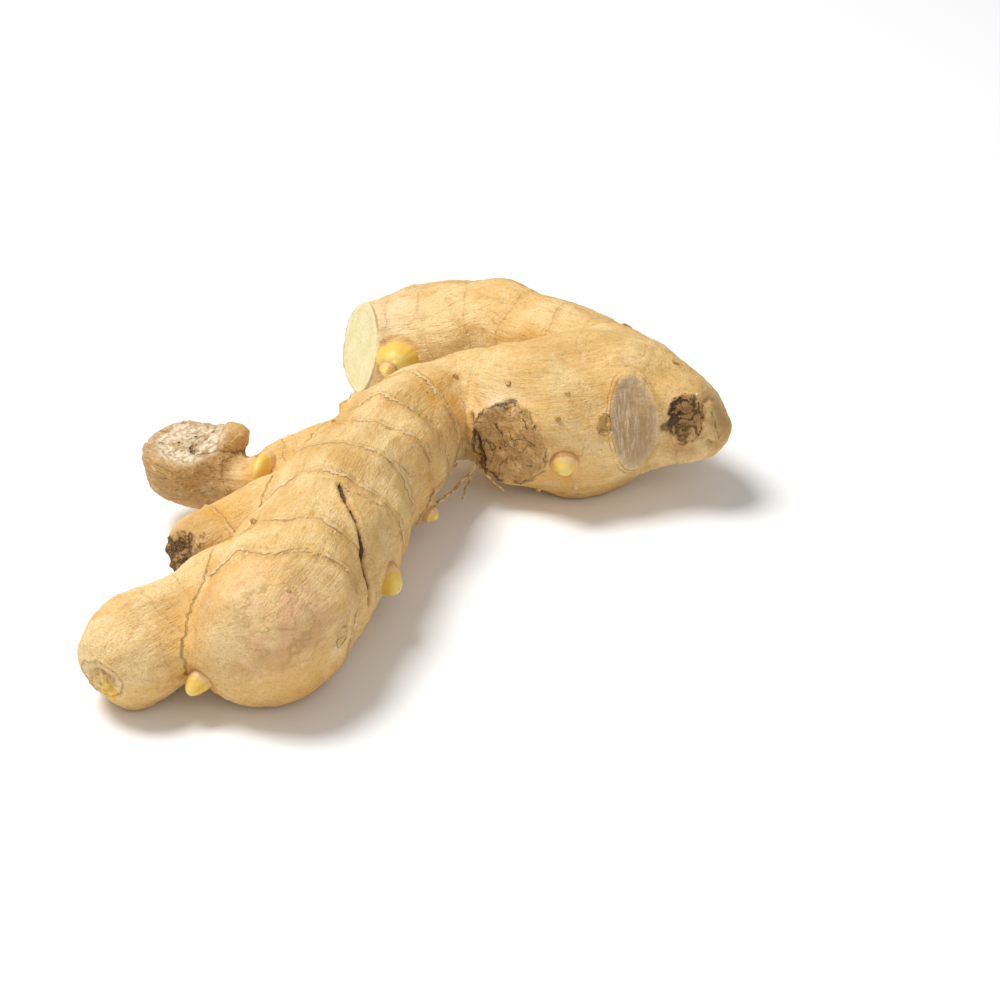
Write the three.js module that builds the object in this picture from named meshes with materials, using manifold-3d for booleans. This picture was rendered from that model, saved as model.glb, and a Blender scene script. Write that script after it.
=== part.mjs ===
// A hand of fresh ginger, lying on a table: one rhizome, grown as one piece, so it is one solid.
// Swollen limbs run into each other. Thin rings cross them where leaf sheaths grew, and they
// carry buds, root stubs, healed scars, a dry crack and one flat knife cut.
// Millimetres, +Z up. The origin is on the table, below the middle of the whole hand.
import * as THREE from "three";
import { mergeVertices } from "three/addons/utils/BufferGeometryUtils.js";
import Module from "manifold-3d";

// Rings that the leaf sheaths left: a thin ridge in a shallow waist
const RING_HEIGHT = 1.0;
const RING_HALF_WIDTH = 1.15;
const WAIST_DEPTH = 0.6;
const WAIST_HALF_WIDTH = 3.4;
const RING_WAVE = 0.7;

// Cracks in the dry skin
const CRACK_DEPTH = 1.5;
const CRACK_HALF_WIDTH = 0.9;

const SPANS_PER_SECTION = 4;

// The flat face where a knife took off the end of the back finger
const CUT_POINT = [-17, 65, 11];
const CUT_DIRECTION = [-0.93, -0.3, 0.22];
const CUT_SIZE = 40;
const TABLE_SIZE = 300;

// How the skin is meshed. Steps, edges and distances are in mm. A turned edge must leave
// triangles of a fair shape that face nearly the same way and lie closer to the skin.
const COARSE_STEP = 3.4;
const FINEST_EDGE = 1.15;
const MOST_TRIANGLES = 9000;
const THINNEST_SHAPE = 0.25;
const FLATTEST_TURN = 0.4;
const BETTER_TURN = 0.9;
const FIRST_RELAX = 0.3;
const LATER_RELAX = 0.15;
const SPLIT_SHARE = 0.25;
const LEAST_ROOM = 40;
const SLOPE_STEP = 0.1;
const LEAST_STEEPNESS = 0.25;
const SETTLE_ROUNDS = 5;
const MERGE_DISTANCE = 1e-4;

// Each limb is a chain of round sections: x, y and z of the centre, then the radius.
// fillet is how wide it melts into the limbs before it. A ring is its distance along the
// limb, and how far it leans along the limb for each mm to the right and for each mm up.
const LIMBS = [
  {
    name: "main limb, from its front end to the tip of the right lobe",
    fillet: 0,
    sections: [
      [-31, -63.5, 14.5, 15.1],
      [-26.5, -54, 15.5, 15.9],
      [-20.5, -32, 16, 15.6],
      [-14.5, -12, 16.5, 14.6],
      [-7, 9, 16.5, 13],
      [2.5, 24, 17, 11.8],
      [13, 25.5, 17, 12.9],
      [22.5, 21.5, 17, 16.1],
      [32.5, 22.5, 17, 17.7],
      [42, 23.5, 18, 16.3],
      [49.5, 21.5, 18.5, 13.3],
      [56, 18, 18.6, 9.9],
      [60.2, 16, 18.2, 6.4],
    ],
    rings: [
      [6, 0.3, 0.1],
      [19, 0.05, -0.15],
      [35, 0.22, 0.1],
      [47, 0.22, 0.1],
      [60, 0.1, 0],
      [73, 0.2, -0.15],
      [86, -0.2, 0],
      [98, 0.1, 0.1],
      [111, 0, -0.2],
      [125, 0.1, 0.15],
      [138, 0.05, -0.1],
      [148, -0.1, 0.1],
    ],
  },
  {
    name: "toe, beside the front end",
    fillet: 4,
    sections: [
      [-37.5, -51, 14, 10],
      [-50, -60.3, 12, 10.2],
      [-57, -65.6, 10.5, 10.8],
    ],
    rings: [
      [10, 0.1, 0.1],
      [17, -0.1, 0.1],
      [22.5, 0, 0],
    ],
  },
  {
    name: "short stub on the left",
    fillet: 4,
    sections: [
      [-31.5, -20.5, 15, 9.2],
      [-40.5, -25, 12, 7.9],
      [-45.8, -28.2, 11, 7.4],
    ],
    rings: [[9, 0.1, 0.2]],
  },
  {
    name: "small lobe behind it",
    fillet: 4,
    sections: [
      [-16.5, 1, 17, 9.9],
      [-25.5, -1, 16, 7.5],
      [-31.5, -2, 15, 6.9],
    ],
    rings: [
      [8, 0, 0.2],
      [13.5, 0, -0.1],
    ],
  },
  {
    name: "knob on the small lobe",
    fillet: 3,
    sections: [
      [-34, -4.5, 15, 5.1],
      [-41.5, -3.5, 14.5, 6],
      [-46.6, 0.5, 13.2, 7],
      [-50.4, 3.5, 13, 7.5],
    ],
    rings: [[7, 0, 0.1]],
  },
  {
    name: "ear of the knob",
    fillet: 3,
    sections: [
      [-45.5, 1.5, 18, 4.8],
      [-40.8, 0.8, 22, 2.9],
    ],
    rings: [],
  },
  {
    name: "nodule on the right of the main limb",
    fillet: 2.5,
    sections: [
      [-5.5, -9.5, 15, 4.8],
      [-2.2, -11.5, 12.8, 4.3],
    ],
    rings: [],
  },
  {
    name: "back finger",
    fillet: 7,
    sections: [
      [38.5, 37.5, 17.5, 11.3],
      [39, 47.5, 17.5, 9.6],
      [30, 53.5, 17, 9.7],
      [22.5, 59.5, 16.5, 10.7],
      [15.5, 65, 16.4, 12.3],
      [8.5, 66.5, 15.2, 12.2],
      [-0.5, 65.5, 13.5, 11.7],
      [-13, 66, 11.2, 11.3],
      [-23, 66, 11, 10.8],
    ],
    rings: [
      [12, 0, 0.1],
      [22, 0.1, 0],
      [33, -0.1, 0.15],
      [44, 0.1, 0.1],
      [56, -0.1, 0],
      [64, 0, 0.1],
    ],
  },
];

// The knob ends in an old cut, healed to a flat round face that looks up
const KNOB_FACE = [-50.4, 2.2, 20.6];
const KNOB_FACE_UP = [-0.1, -0.08, 0.99];
const KNOB_RADIUS = 10.7;
const KNOB_DEPTH = 10;
const KNOB_ROUNDING = 2.6;
const KNOB_FILLET = 3;

// Slow unevenness of the whole skin: waves per mm along x, y and z, phase and height
const LUMPS = [
  [0.21, 0.09, 0.12, 4.95, 0.42],
  [-0.08, 0.23, 0.1, 1.08, 0.42],
  [0.12, -0.15, 0.3, 5.79, 0.36],
  [0.33, 0.27, -0.14, 0.72, 0.25],
  [-0.3, 0.25, 0.26, 1.79, 0.22],
  [0.11, 0.43, 0.28, 2.77, 0.18],
];

// Healed scars, where a shoot or a root has gone. Each lies on the skin near a point and
// faces a direction; across and tall are its half widths, and tall leans towards +Z.
// rim rises round it, bowl sinks inside it, and ripples are the low circles in it.
const SCARS = [
  { name: "corky stump of a lost shoot", at: [17.5, 6.5, 17], faces: [-0.3, -0.93, 0.05],
    across: 8.8, tall: 9.4, rim: 0.9, bowl: 0.9, ripples: 0.35 },
  { name: "grey oval scar", at: [45, 7, 22], faces: [0.2, -0.95, 0.23],
    across: 5.8, tall: 10.2, rim: 0.6, bowl: 0.7, ripples: 0.25 },
  { name: "dark pitted scar by the tip", at: [56, 9, 23], faces: [0.15, -0.85, 0.5],
    across: 3.8, tall: 4.9, rim: 0.8, bowl: 1.2, ripples: 0 },
  { name: "end of the toe", at: [-59, -75, 10.5], faces: [-0.35, -0.93, -0.1],
    across: 5.2, tall: 5.2, rim: 0.6, bowl: 0.4, ripples: 0.3 },
  { name: "broken end of the stub", at: [-50, -32.5, 12.5], faces: [-0.75, -0.65, 0.15],
    across: 4.6, tall: 5, rim: 0.7, bowl: 1.7, ripples: 0 },
  { name: "root scar on the front lobe", at: [-15.5, -67.5, 16], faces: [0.8, -0.56, 0.2],
    across: 2.1, tall: 2.1, rim: 0.6, bowl: 0.5, ripples: 0 },
  { name: "crease round the right tip", at: [61, 13, 20], faces: [0.7, -0.7, 0.2],
    across: 4.4, tall: 5.6, rim: -0.45, bowl: 0, ripples: 0 },
  { name: "scar on the far side of the right lobe", at: [45, 39, 22], faces: [0.25, 0.9, 0.35],
    across: 6.4, tall: 5.4, rim: 0.8, bowl: 1, ripples: 0 },
  { name: "scar on the left of the main limb", at: [-19, 16, 20], faces: [-0.85, 0.4, 0.3],
    across: 5, tall: 5.6, rim: 0.8, bowl: 0.9, ripples: 0 },
  { name: "root scar behind the toe", at: [-46, -43, 12], faces: [-0.6, 0.8, 0.1],
    across: 2.6, tall: 2.6, rim: 0.6, bowl: 0.5, ripples: 0 },
  { name: "scar behind the back finger", at: [12, 78, 18], faces: [-0.1, 0.95, 0.25],
    across: 5, tall: 4.4, rim: 0.8, bowl: 0.9, ripples: 0 },
  { name: "healed face of the knob", at: [-50.4, 2.2, 20.6], faces: [-0.1, -0.08, 0.99],
    across: 8.8, tall: 8.8, rim: 0.6, bowl: 1.1, ripples: 0.3 },
];
const SCAR_DEPTH = 7;
const SCAR_REACH = 2;
const SCAR_FLAT_SHARE = 0.35;
const SCAR_RIM_WIDTH = 0.2;
const SCAR_RIPPLE_COUNT = 2;

// Cracks: the points that each one runs through
const CRACKS = [
  [
    [-17, -34.5, 30.5],
    [-14.5, -43, 28.5],
    [-12, -49, 25.5],
    [-10.5, -52.5, 20.5],
    [-10, -54.5, 15.5],
  ],
  [
    [-15, -36, 30],
    [-12, -35, 28],
    [-7.5, -32, 24],
  ],
  [
    [-4.3, -17.5, 26.5],
    [-1.8, -16.5, 22.5],
    [-0.6, -15.5, 18.5],
  ],
];

// Buds: where each stands, which way it points, its half widths and how far it sticks out.
// collar is how far its lowest scale stands out round it.
const BUDS = [
  { name: "bud on the right lobe", at: [29.6, 4.5, 14.7], points: [0.05, -0.95, -0.15],
    across: 3.2, tall: 3.1, height: 3.2, collar: 0.25 },
  { name: "bud on the side of the main limb", at: [-6.8, -42, 12.8], points: [0.78, -0.6, -0.1],
    across: 2.9, tall: 3.5, height: 2.8, collar: 0.3 },
  { name: "bud between the toe and the front lobe", at: [-42.5, -72, 9], points: [-0.5, -0.8, -0.3],
    across: 2.7, tall: 2.5, height: 3.4, collar: 0.35 },
  { name: "end bud of the small lobe", at: [-34.7, -7.2, 19], points: [-0.35, -0.75, 0.55],
    across: 2.2, tall: 4, height: 2.4, collar: 0.3 },
  { name: "large bud of the back finger", at: [-8, 55, 13.5], points: [-0.1, -0.92, 0.3],
    across: 5.2, tall: 4, height: 4.2, collar: 0.6 },
  { name: "small bud on the nodule", at: [1.5, -13.5, 11.5], points: [0.8, -0.55, -0.2],
    across: 2, tall: 1.9, height: 1.5, collar: 0.3 },
  { name: "bud behind the right lobe", at: [50, 36, 17], points: [0.6, 0.75, 0.1],
    across: 2.7, tall: 2.7, height: 2.8, collar: 0.3 },
  { name: "bud behind the back finger", at: [28, 69, 15], points: [0.55, 0.83, 0],
    across: 2.2, tall: 2.4, height: 2.2, collar: 0.3 },
  { name: "bud behind the main limb", at: [-14, 20, 10], points: [-0.75, 0.6, -0.2],
    across: 2.4, tall: 2.6, height: 2.4, collar: 0.3 },
];
const BUD_SIDES = 12;
const BUD_SINK = 3;

// Stubs of dried roots: where each stands on the skin, and its radius
const ROOT_STUBS = [
  [6, 20, 28, 0.8],
  [17.5, 12.5, 29.5, 0.9],
  [30, 10, 28.5, 0.9],
  [28, 6, 24, 0.8],
  [39.5, 6.5, 22.5, 0.8],
  [53.8, 20, 30.5, 1.1],
  [-26, -69, 26, 0.8],
  [-33, -44, 27, 0.8],
  [-50, -52, 18, 0.8],
  [-20, -2, 29, 0.8],
  [3, 12, 12, 1],
  [11, 12, 8, 1],
  [-10, -33, 6, 1],
  [-24, -18, 3, 1],
  [36, 36, 5, 1],
  [24, 12, 3, 1],
  [5, 58, 8, 0.9],
  [24, 66, 20, 0.9],
];
const ROOT_SIDES = 5;
const ROOT_HEIGHT = 1.1;
const ROOT_SINK = 1.6;

// Turned outlines, as radius and height: a bud's radius is a share of its half width and
// its height above the skin a share of its own, and a stub's radius is a share of its own
const BUD_OUTLINE = [
  [0.86, 0.3],
  [0.9, 0.55],
  [0.72, 0.62],
  [0.52, 0.88],
  [0, 1],
];
const BUD_FOOT = 0.95;
const BUD_COLLAR_LOW = 0.1;
const BUD_COLLAR_HIGH = 0.22;
const ROOT_OUTLINE = [
  [0, -ROOT_SINK],
  [1, -ROOT_SINK],
  [1.1, 0.3],
  [0.6, ROOT_HEIGHT],
  [0, ROOT_HEIGHT],
];

// Smoothly joins two distances: width is how far the fillet between them reaches
function join(first, second, width) {
  if (width === 0) {
    return Math.min(first, second);
  }
  const overlap = Math.max(width - Math.abs(first - second), 0) / width;
  return Math.min(first, second) - (overlap * overlap * width) / 4;
}

function bump(distance, halfWidth) {
  const ratio = distance / halfWidth;
  return Math.exp(-ratio * ratio);
}

// Turns a limb's sections into short tapered spans along one smooth curve
function spansOf(limb) {
  const centres = limb.sections.map(([x, y, z]) => new THREE.Vector3(x, y, z));
  const radii = limb.sections.map(([, , , radius]) => new THREE.Vector3(radius, 0, 0));
  const steps = (limb.sections.length - 1) * SPANS_PER_SECTION;
  const path = new THREE.CatmullRomCurve3(centres, false, "catmullrom", 0.5).getPoints(steps);
  const widths = new THREE.CatmullRomCurve3(radii, false, "catmullrom", 0.5).getPoints(steps);
  const spans = [];
  let along = 0;
  for (let i = 0; i < steps; i += 1) {
    const direction = path[i + 1].clone().sub(path[i]);
    const length = direction.length();
    spans.push({ start: path[i], direction, length, along, from: widths[i].x, to: widths[i + 1].x });
    along += length;
  }
  return spans;
}

const limbSpans = LIMBS.map(spansOf);

// How far the rings push the skin out, at an offset from the limb's middle line
function ringRelief(rings, along, right, up) {
  let relief = 0;
  for (const [place, leanRight, leanUp] of rings) {
    const wave = RING_WAVE * Math.sin(0.45 * right + 0.37 * up + place);
    const off = along - place - leanRight * right - leanUp * up - wave;
    relief += RING_HEIGHT * bump(off, RING_HALF_WIDTH);
    relief -= WAIST_DEPTH * bump(off, WAIST_HALF_WIDTH);
  }
  return relief;
}

function limbDistance(point, limb, spans, withRings) {
  let nearest = Infinity;
  let along = 0;
  let right = 0;
  let up = 0;
  const offset = new THREE.Vector3();
  for (const span of spans) {
    offset.copy(point).sub(span.start);
    let share = offset.dot(span.direction) / (span.length * span.length);
    share = Math.min(Math.max(share, 0), 1);
    offset.addScaledVector(span.direction, -share);
    const distance = offset.length() - (span.from + share * (span.to - span.from));
    if (distance < nearest) {
      nearest = distance;
      along = span.along + share * span.length;
      right = offset.x;
      up = offset.z;
    }
  }
  return withRings ? nearest - ringRelief(limb.rings, along, right, up) : nearest;
}

const knobFace = new THREE.Vector3(...KNOB_FACE);
const knobUp = new THREE.Vector3(...KNOB_FACE_UP).normalize();

// A short round block with rounded edges, just under the knob's flat face
function knobDistance(point) {
  const offset = point.clone().sub(knobFace);
  const height = offset.dot(knobUp);
  const outward = Math.sqrt(Math.max(offset.lengthSq() - height * height, 0));
  const aside = outward - (KNOB_RADIUS - KNOB_ROUNDING);
  const above = Math.abs(height + KNOB_DEPTH / 2) - (KNOB_DEPTH / 2 - KNOB_ROUNDING);
  const outside = Math.hypot(Math.max(aside, 0), Math.max(above, 0));
  return Math.min(Math.max(aside, above), 0) + outside - KNOB_ROUNDING;
}

function lumpHeight(point) {
  let height = 0;
  for (const [x, y, z, phase, size] of LUMPS) {
    height += size * Math.sin(x * point.x + y * point.y + z * point.z + phase);
  }
  return height;
}

// Distance from the limbs' skin before scars and cracks: below zero is inside
function bodyDistance(point, withRings = true) {
  let distance = Infinity;
  LIMBS.forEach((limb, i) => {
    distance = join(distance, limbDistance(point, limb, limbSpans[i], withRings), limb.fillet);
  });
  distance = join(distance, knobDistance(point), KNOB_FILLET);
  return distance - lumpHeight(point);
}

function slopeOf(distanceTo, point) {
  const probe = new THREE.Vector3();
  const slope = new THREE.Vector3();
  for (const axis of ["x", "y", "z"]) {
    probe.copy(point);
    probe[axis] += SLOPE_STEP;
    const ahead = distanceTo(probe);
    probe[axis] -= 2 * SLOPE_STEP;
    slope[axis] = (ahead - distanceTo(probe)) / (2 * SLOPE_STEP);
  }
  return slope;
}

// Moves a point along the slope until it lies on the skin
function settle(distanceTo, point) {
  for (let round = 0; round < SETTLE_ROUNDS; round += 1) {
    const slope = slopeOf(distanceTo, point);
    const steepness = Math.max(slope.lengthSq(), LEAST_STEEPNESS);
    point.addScaledVector(slope, -distanceTo(point) / steepness);
  }
  return point;
}

// A scar's own axes: out of the skin, across it, and up along it
function scarFrame(scar) {
  const out = new THREE.Vector3(...scar.faces).normalize();
  const side = new THREE.Vector3(0, 0, 1).cross(out).normalize();
  const rise = out.clone().cross(side);
  return { ...scar, centre: settle(bodyDistance, new THREE.Vector3(...scar.at)), out, side, rise };
}

const scars = SCARS.map(scarFrame);

function scarRelief(point) {
  let relief = 0;
  for (const scar of scars) {
    const offset = point.clone().sub(scar.centre);
    const depth = offset.dot(scar.out);
    const reach = Math.hypot(offset.dot(scar.side) / scar.across, offset.dot(scar.rise) / scar.tall);
    if (Math.abs(depth) < SCAR_DEPTH && reach < SCAR_REACH) {
      const inside = 1 - THREE.MathUtils.smoothstep(reach, SCAR_FLAT_SHARE, 1);
      const ripple = Math.cos(2 * Math.PI * SCAR_RIPPLE_COUNT * reach);
      relief += scar.rim * bump(reach - 1, SCAR_RIM_WIDTH);
      relief -= scar.bowl * inside;
      relief += scar.ripples * ripple * inside;
    }
  }
  return relief;
}

const crackLines = CRACKS.map((points) => points.map((point) => new THREE.Vector3(...point)));

function crackRelief(point) {
  let nearest = Infinity;
  const closest = new THREE.Vector3();
  for (const line of crackLines) {
    for (let i = 1; i < line.length; i += 1) {
      new THREE.Line3(line[i - 1], line[i]).closestPointToPoint(point, true, closest);
      nearest = Math.min(nearest, closest.distanceTo(point));
    }
  }
  return -CRACK_DEPTH * bump(nearest, CRACK_HALF_WIDTH);
}

function skinDistance(point) {
  return bodyDistance(point) - scarRelief(point) - crackRelief(point);
}

// The first rough skin, without its rings: a grid of boxes lies round the limbs, and the
// skin gets one corner in each box that it crosses
function coarseSkin() {
  const box = new THREE.Box3();
  for (const limb of LIMBS) {
    for (const [x, y, z, radius] of limb.sections) {
      const reach = radius + 2 * COARSE_STEP;
      box.expandByPoint(new THREE.Vector3(x - reach, y - reach, z - reach));
      box.expandByPoint(new THREE.Vector3(x + reach, y + reach, z + reach));
    }
  }
  const size = box.getSize(new THREE.Vector3()).divideScalar(COARSE_STEP);
  const counts = [Math.ceil(size.x) + 1, Math.ceil(size.y) + 1, Math.ceil(size.z) + 1];
  const strides = [1, counts[0], counts[0] * counts[1]];
  const values = new Float64Array(counts[0] * counts[1] * counts[2]);
  const point = new THREE.Vector3();
  const indexOf = (cell) => cell[0] + cell[1] * strides[1] + cell[2] * strides[2];
  const eachCell = (limits, visit) => {
    const cell = [0, 0, 0];
    for (cell[2] = 0; cell[2] < limits[2]; cell[2] += 1) {
      for (cell[1] = 0; cell[1] < limits[1]; cell[1] += 1) {
        for (cell[0] = 0; cell[0] < limits[0]; cell[0] += 1) {
          visit(cell, indexOf(cell));
        }
      }
    }
  };
  eachCell(counts, (cell, index) => {
    point.set(...cell).multiplyScalar(COARSE_STEP).add(box.min);
    values[index] = bodyDistance(point, false);
  });

  const corners = [];
  const cornerOf = new Map();
  eachCell(counts.map((count) => count - 1), (cell, index) => {
    const sum = new THREE.Vector3();
    let crossings = 0;
    for (let axis = 0; axis < 3; axis += 1) {
      const second = strides[(axis + 1) % 3];
      const third = strides[(axis + 2) % 3];
      for (const shift of [[0, 0], [1, 0], [0, 1], [1, 1]]) {
        const start = index + shift[0] * second + shift[1] * third;
        const end = start + strides[axis];
        if (values[start] < 0 !== values[end] < 0) {
          const place = [...cell];
          place[axis] += values[start] / (values[start] - values[end]);
          place[(axis + 1) % 3] += shift[0];
          place[(axis + 2) % 3] += shift[1];
          sum.add(new THREE.Vector3(...place));
          crossings += 1;
        }
      }
    }
    if (crossings > 0) {
      cornerOf.set(index, corners.length);
      corners.push(sum.multiplyScalar(COARSE_STEP / crossings).add(box.min));
    }
  });

  const triangles = [];
  eachCell(counts.map((count) => count - 1), (cell, index) => {
    for (let axis = 0; axis < 3; axis += 1) {
      const start = values[index] < 0;
      const end = values[index + strides[axis]] < 0;
      if (start !== end) {
        const second = strides[(axis + 1) % 3];
        const third = strides[(axis + 2) % 3];
        const around = [index - second - third, index - third, index, index - second];
        const [a, b, c, d] = around.map((place) => cornerOf.get(place));
        triangles.push(...(start ? [[a, b, c], [a, c, d]] : [[a, c, b], [a, d, c]]));
      }
    }
  });
  return { corners, triangles };
}

// Splits each edge that strays from the skin, the worst first, while triangles are left
function refine(skin) {
  const edges = new Map();
  const keyOf = (a, b) => (a < b ? `${a},${b}` : `${b},${a}`);
  for (const [a, b, c] of skin.triangles) {
    for (const [from, to] of [[a, b], [b, c], [c, a]]) {
      edges.set(keyOf(from, to), [from, to]);
    }
  }
  const strays = [];
  for (const [key, [from, to]] of edges) {
    const start = skin.corners[from];
    const end = skin.corners[to];
    if (start.distanceTo(end) > 2 * FINEST_EDGE) {
      const middle = start.clone().lerp(end, 0.5);
      strays.push({ key, middle, error: Math.abs(skinDistance(middle)) });
    }
  }
  strays.sort((first, second) => second.error - first.error);
  const room = Math.floor((MOST_TRIANGLES - skin.triangles.length) / 2);
  const most = Math.min(room, Math.floor(strays.length * SPLIT_SHARE));
  const middleOf = new Map();
  for (const { key, middle } of strays.slice(0, most)) {
    middleOf.set(key, skin.corners.length);
    skin.corners.push(settle(skinDistance, middle));
  }
  const triangles = [];
  for (const triangle of skin.triangles) {
    let [a, b, c] = triangle;
    const middles = [middleOf.get(keyOf(a, b)), middleOf.get(keyOf(b, c)), middleOf.get(keyOf(c, a))];
    const split = middles.filter((middle) => middle !== undefined).length;
    let [ab, bc, ca] = middles;
    while ((split === 1 && ab === undefined) || (split === 2 && ca !== undefined)) {
      [a, b, c] = [b, c, a];
      [ab, bc, ca] = [bc, ca, ab];
    }
    if (split === 0) {
      triangles.push([a, b, c]);
    } else if (split === 1) {
      triangles.push([a, ab, c], [ab, b, c]);
    } else if (split === 2) {
      triangles.push([ab, b, bc], [a, ab, bc], [a, bc, c]);
    } else {
      triangles.push([a, ab, ca], [ab, b, bc], [ca, bc, c], [ab, bc, ca]);
    }
  }
  return { corners: skin.corners, triangles };
}

// How far the middle of an edge lies off the skin
function strayOf(start, end) {
  return Math.abs(skinDistance(start.clone().lerp(end, 0.5)));
}

function normalOf(a, b, c) {
  return b.clone().sub(a).cross(c.clone().sub(a));
}

// Turns the edge between two triangles where the other diagonal follows the skin better
function turnEdges(skin) {
  const sides = new Map();
  skin.triangles.forEach(([a, b, c], i) => {
    sides.set(`${a},${b}`, { triangle: i, across: c });
    sides.set(`${b},${c}`, { triangle: i, across: a });
    sides.set(`${c},${a}`, { triangle: i, across: b });
  });
  const turned = new Set();
  for (const [key, first] of [...sides]) {
    const [a, b] = key.split(",").map(Number);
    const second = sides.get(`${b},${a}`);
    const c = first.across;
    const d = second.across;
    const taken = turned.has(first.triangle) || turned.has(second.triangle);
    if (a < b && !taken && !sides.has(`${c},${d}`) && !sides.has(`${d},${c}`)) {
      const [startA, startB, startC, startD] = [a, b, c, d].map((i) => skin.corners[i]);
      const left = normalOf(startA, startD, startC);
      const right = normalOf(startD, startB, startC);
      const thinnest = THINNEST_SHAPE * startC.distanceToSquared(startD);
      const flat = left.dot(right) > FLATTEST_TURN * left.length() * right.length();
      const thick = Math.min(left.length(), right.length()) > thinnest;
      if (flat && thick && strayOf(startC, startD) < BETTER_TURN * strayOf(startA, startB)) {
        skin.triangles[first.triangle] = [a, d, c];
        skin.triangles[second.triangle] = [d, b, c];
        sides.set(`${c},${d}`, { triangle: second.triangle, across: b });
        sides.set(`${d},${c}`, { triangle: first.triangle, across: a });
        turned.add(first.triangle);
        turned.add(second.triangle);
      }
    }
  }
}

// Evens out the triangles: each corner moves towards its neighbours and back to the skin
function relax(skin, strength) {
  const sums = skin.corners.map(() => new THREE.Vector3());
  const counts = skin.corners.map(() => 0);
  for (const [a, b, c] of skin.triangles) {
    for (const [from, to] of [[a, b], [b, c], [c, a]]) {
      sums[from].add(skin.corners[to]);
      counts[from] += 1;
    }
  }
  skin.corners.forEach((corner, i) => {
    corner.lerp(sums[i].divideScalar(counts[i]), strength);
    settle(skinDistance, corner);
  });
}

const wasm = await Module();
wasm.setup();

function solidOf(vertices, triangles) {
  const mesh = new wasm.Mesh({ numProp: 3, vertProperties: vertices, triVerts: triangles });
  return new wasm.Manifold(mesh);
}

function solidFromGeometry(geometry) {
  const bare = geometry.clone();
  bare.deleteAttribute("normal");
  bare.deleteAttribute("uv");
  const merged = mergeVertices(bare, MERGE_DISTANCE);
  const index = merged.index.array;
  const triangles = [];
  for (let i = 0; i < index.length; i += 3) {
    const [a, b, c] = index.slice(i, i + 3);
    if (a !== b && b !== c && c !== a) {
      triangles.push(a, b, c);
    }
  }
  return solidOf(merged.attributes.position.array, new Uint32Array(triangles));
}

function skinSolid() {
  let skin = coarseSkin();
  relax(skin, FIRST_RELAX);
  while (skin.triangles.length < MOST_TRIANGLES - LEAST_ROOM) {
    const finer = refine(skin);
    if (finer.triangles.length === skin.triangles.length) {
      break;
    }
    skin = finer;
    turnEdges(skin);
    relax(skin, LATER_RELAX);
    turnEdges(skin);
  }
  const vertices = new Float32Array(skin.corners.flatMap((corner) => corner.toArray()));
  return solidOf(vertices, new Uint32Array(skin.triangles.flat()));
}

// A turned profile that stands on the skin at a point, wider along one side if need be
function standing(profile, sides, at, points, across, tall) {
  const up = new THREE.Vector3(...points).normalize();
  const side = new THREE.Vector3(0, 0, 1).cross(up).normalize();
  const rise = up.clone().cross(side);
  const turned = new THREE.LatheGeometry(profile, sides);
  const place = new THREE.Matrix4().makeBasis(
    side.multiplyScalar(across),
    up,
    rise.multiplyScalar(-tall),
  );
  place.setPosition(settle(skinDistance, new THREE.Vector3(...at)));
  return solidFromGeometry(turned.applyMatrix4(place));
}

// A bud: a low collar of scales, then a blunt cone with a second scale half way up
function budSolid(bud) {
  const wide = 1 + bud.collar / bud.across;
  const above = BUD_OUTLINE.map(([radius, height]) => [radius, height * bud.height]);
  const profile = [
    [0, -BUD_SINK],
    [BUD_FOOT, -BUD_SINK],
    [wide, BUD_COLLAR_LOW * bud.height],
    [wide, BUD_COLLAR_HIGH * bud.height],
    ...above,
  ].map(([radius, height]) => new THREE.Vector2(radius, height));
  return standing(profile, BUD_SIDES, bud.at, bud.points, bud.across, bud.tall);
}

function rootStubSolid([x, y, z, radius]) {
  const place = settle(skinDistance, new THREE.Vector3(x, y, z));
  const out = slopeOf(skinDistance, place);
  const profile = ROOT_OUTLINE.map(([across, height]) => new THREE.Vector2(across, height));
  return standing(profile, ROOT_SIDES, place.toArray(), out.toArray(), radius, radius);
}

// Removes all that lies beyond a plane, with a box whose near face is that plane
function cutOff(solid, point, direction, size) {
  const away = new THREE.Vector3(...direction).normalize();
  const block = new THREE.BoxGeometry(size, size, size);
  block.translate(0, 0, size / 2);
  block.applyQuaternion(new THREE.Quaternion().setFromUnitVectors(new THREE.Vector3(0, 0, 1), away));
  block.translate(...point);
  return solid.subtract(solidFromGeometry(block));
}

// Builds the whole rhizome: skin, knife cut, buds, root stubs, and the small flat spots
// that the soft flesh makes where it rests on the table
function rhizomeSolid() {
  let solid = cutOff(skinSolid(), CUT_POINT, CUT_DIRECTION, CUT_SIZE);
  for (const bud of BUDS) {
    solid = solid.add(budSolid(bud));
  }
  for (const stub of ROOT_STUBS) {
    solid = solid.add(rootStubSolid(stub));
  }
  return cutOff(solid, [0, 0, 0], [0, 0, -1], TABLE_SIZE);
}

function geometryOf(solid) {
  const { vertProperties, triVerts } = solid.getMesh();
  const geometry = new THREE.BufferGeometry();
  geometry.setAttribute("position", new THREE.BufferAttribute(vertProperties, 3));
  geometry.setIndex(new THREE.BufferAttribute(triVerts, 1));
  geometry.computeVertexNormals();
  return geometry;
}

// Ginger skin: pale tan, dry and thin, with a dull finish
const skinMaterial = new THREE.MeshStandardMaterial({ color: 0xd8b27c, roughness: 0.75, metalness: 0 });

const rhizome = new THREE.Mesh(geometryOf(rhizomeSolid()), skinMaterial);
rhizome.name = "ginger_rhizome";

const ginger = new THREE.Group();
ginger.add(rhizome);

export default ginger;
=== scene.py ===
import math
import bpy
import numpy as np
from mathutils import Matrix, Vector


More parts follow.
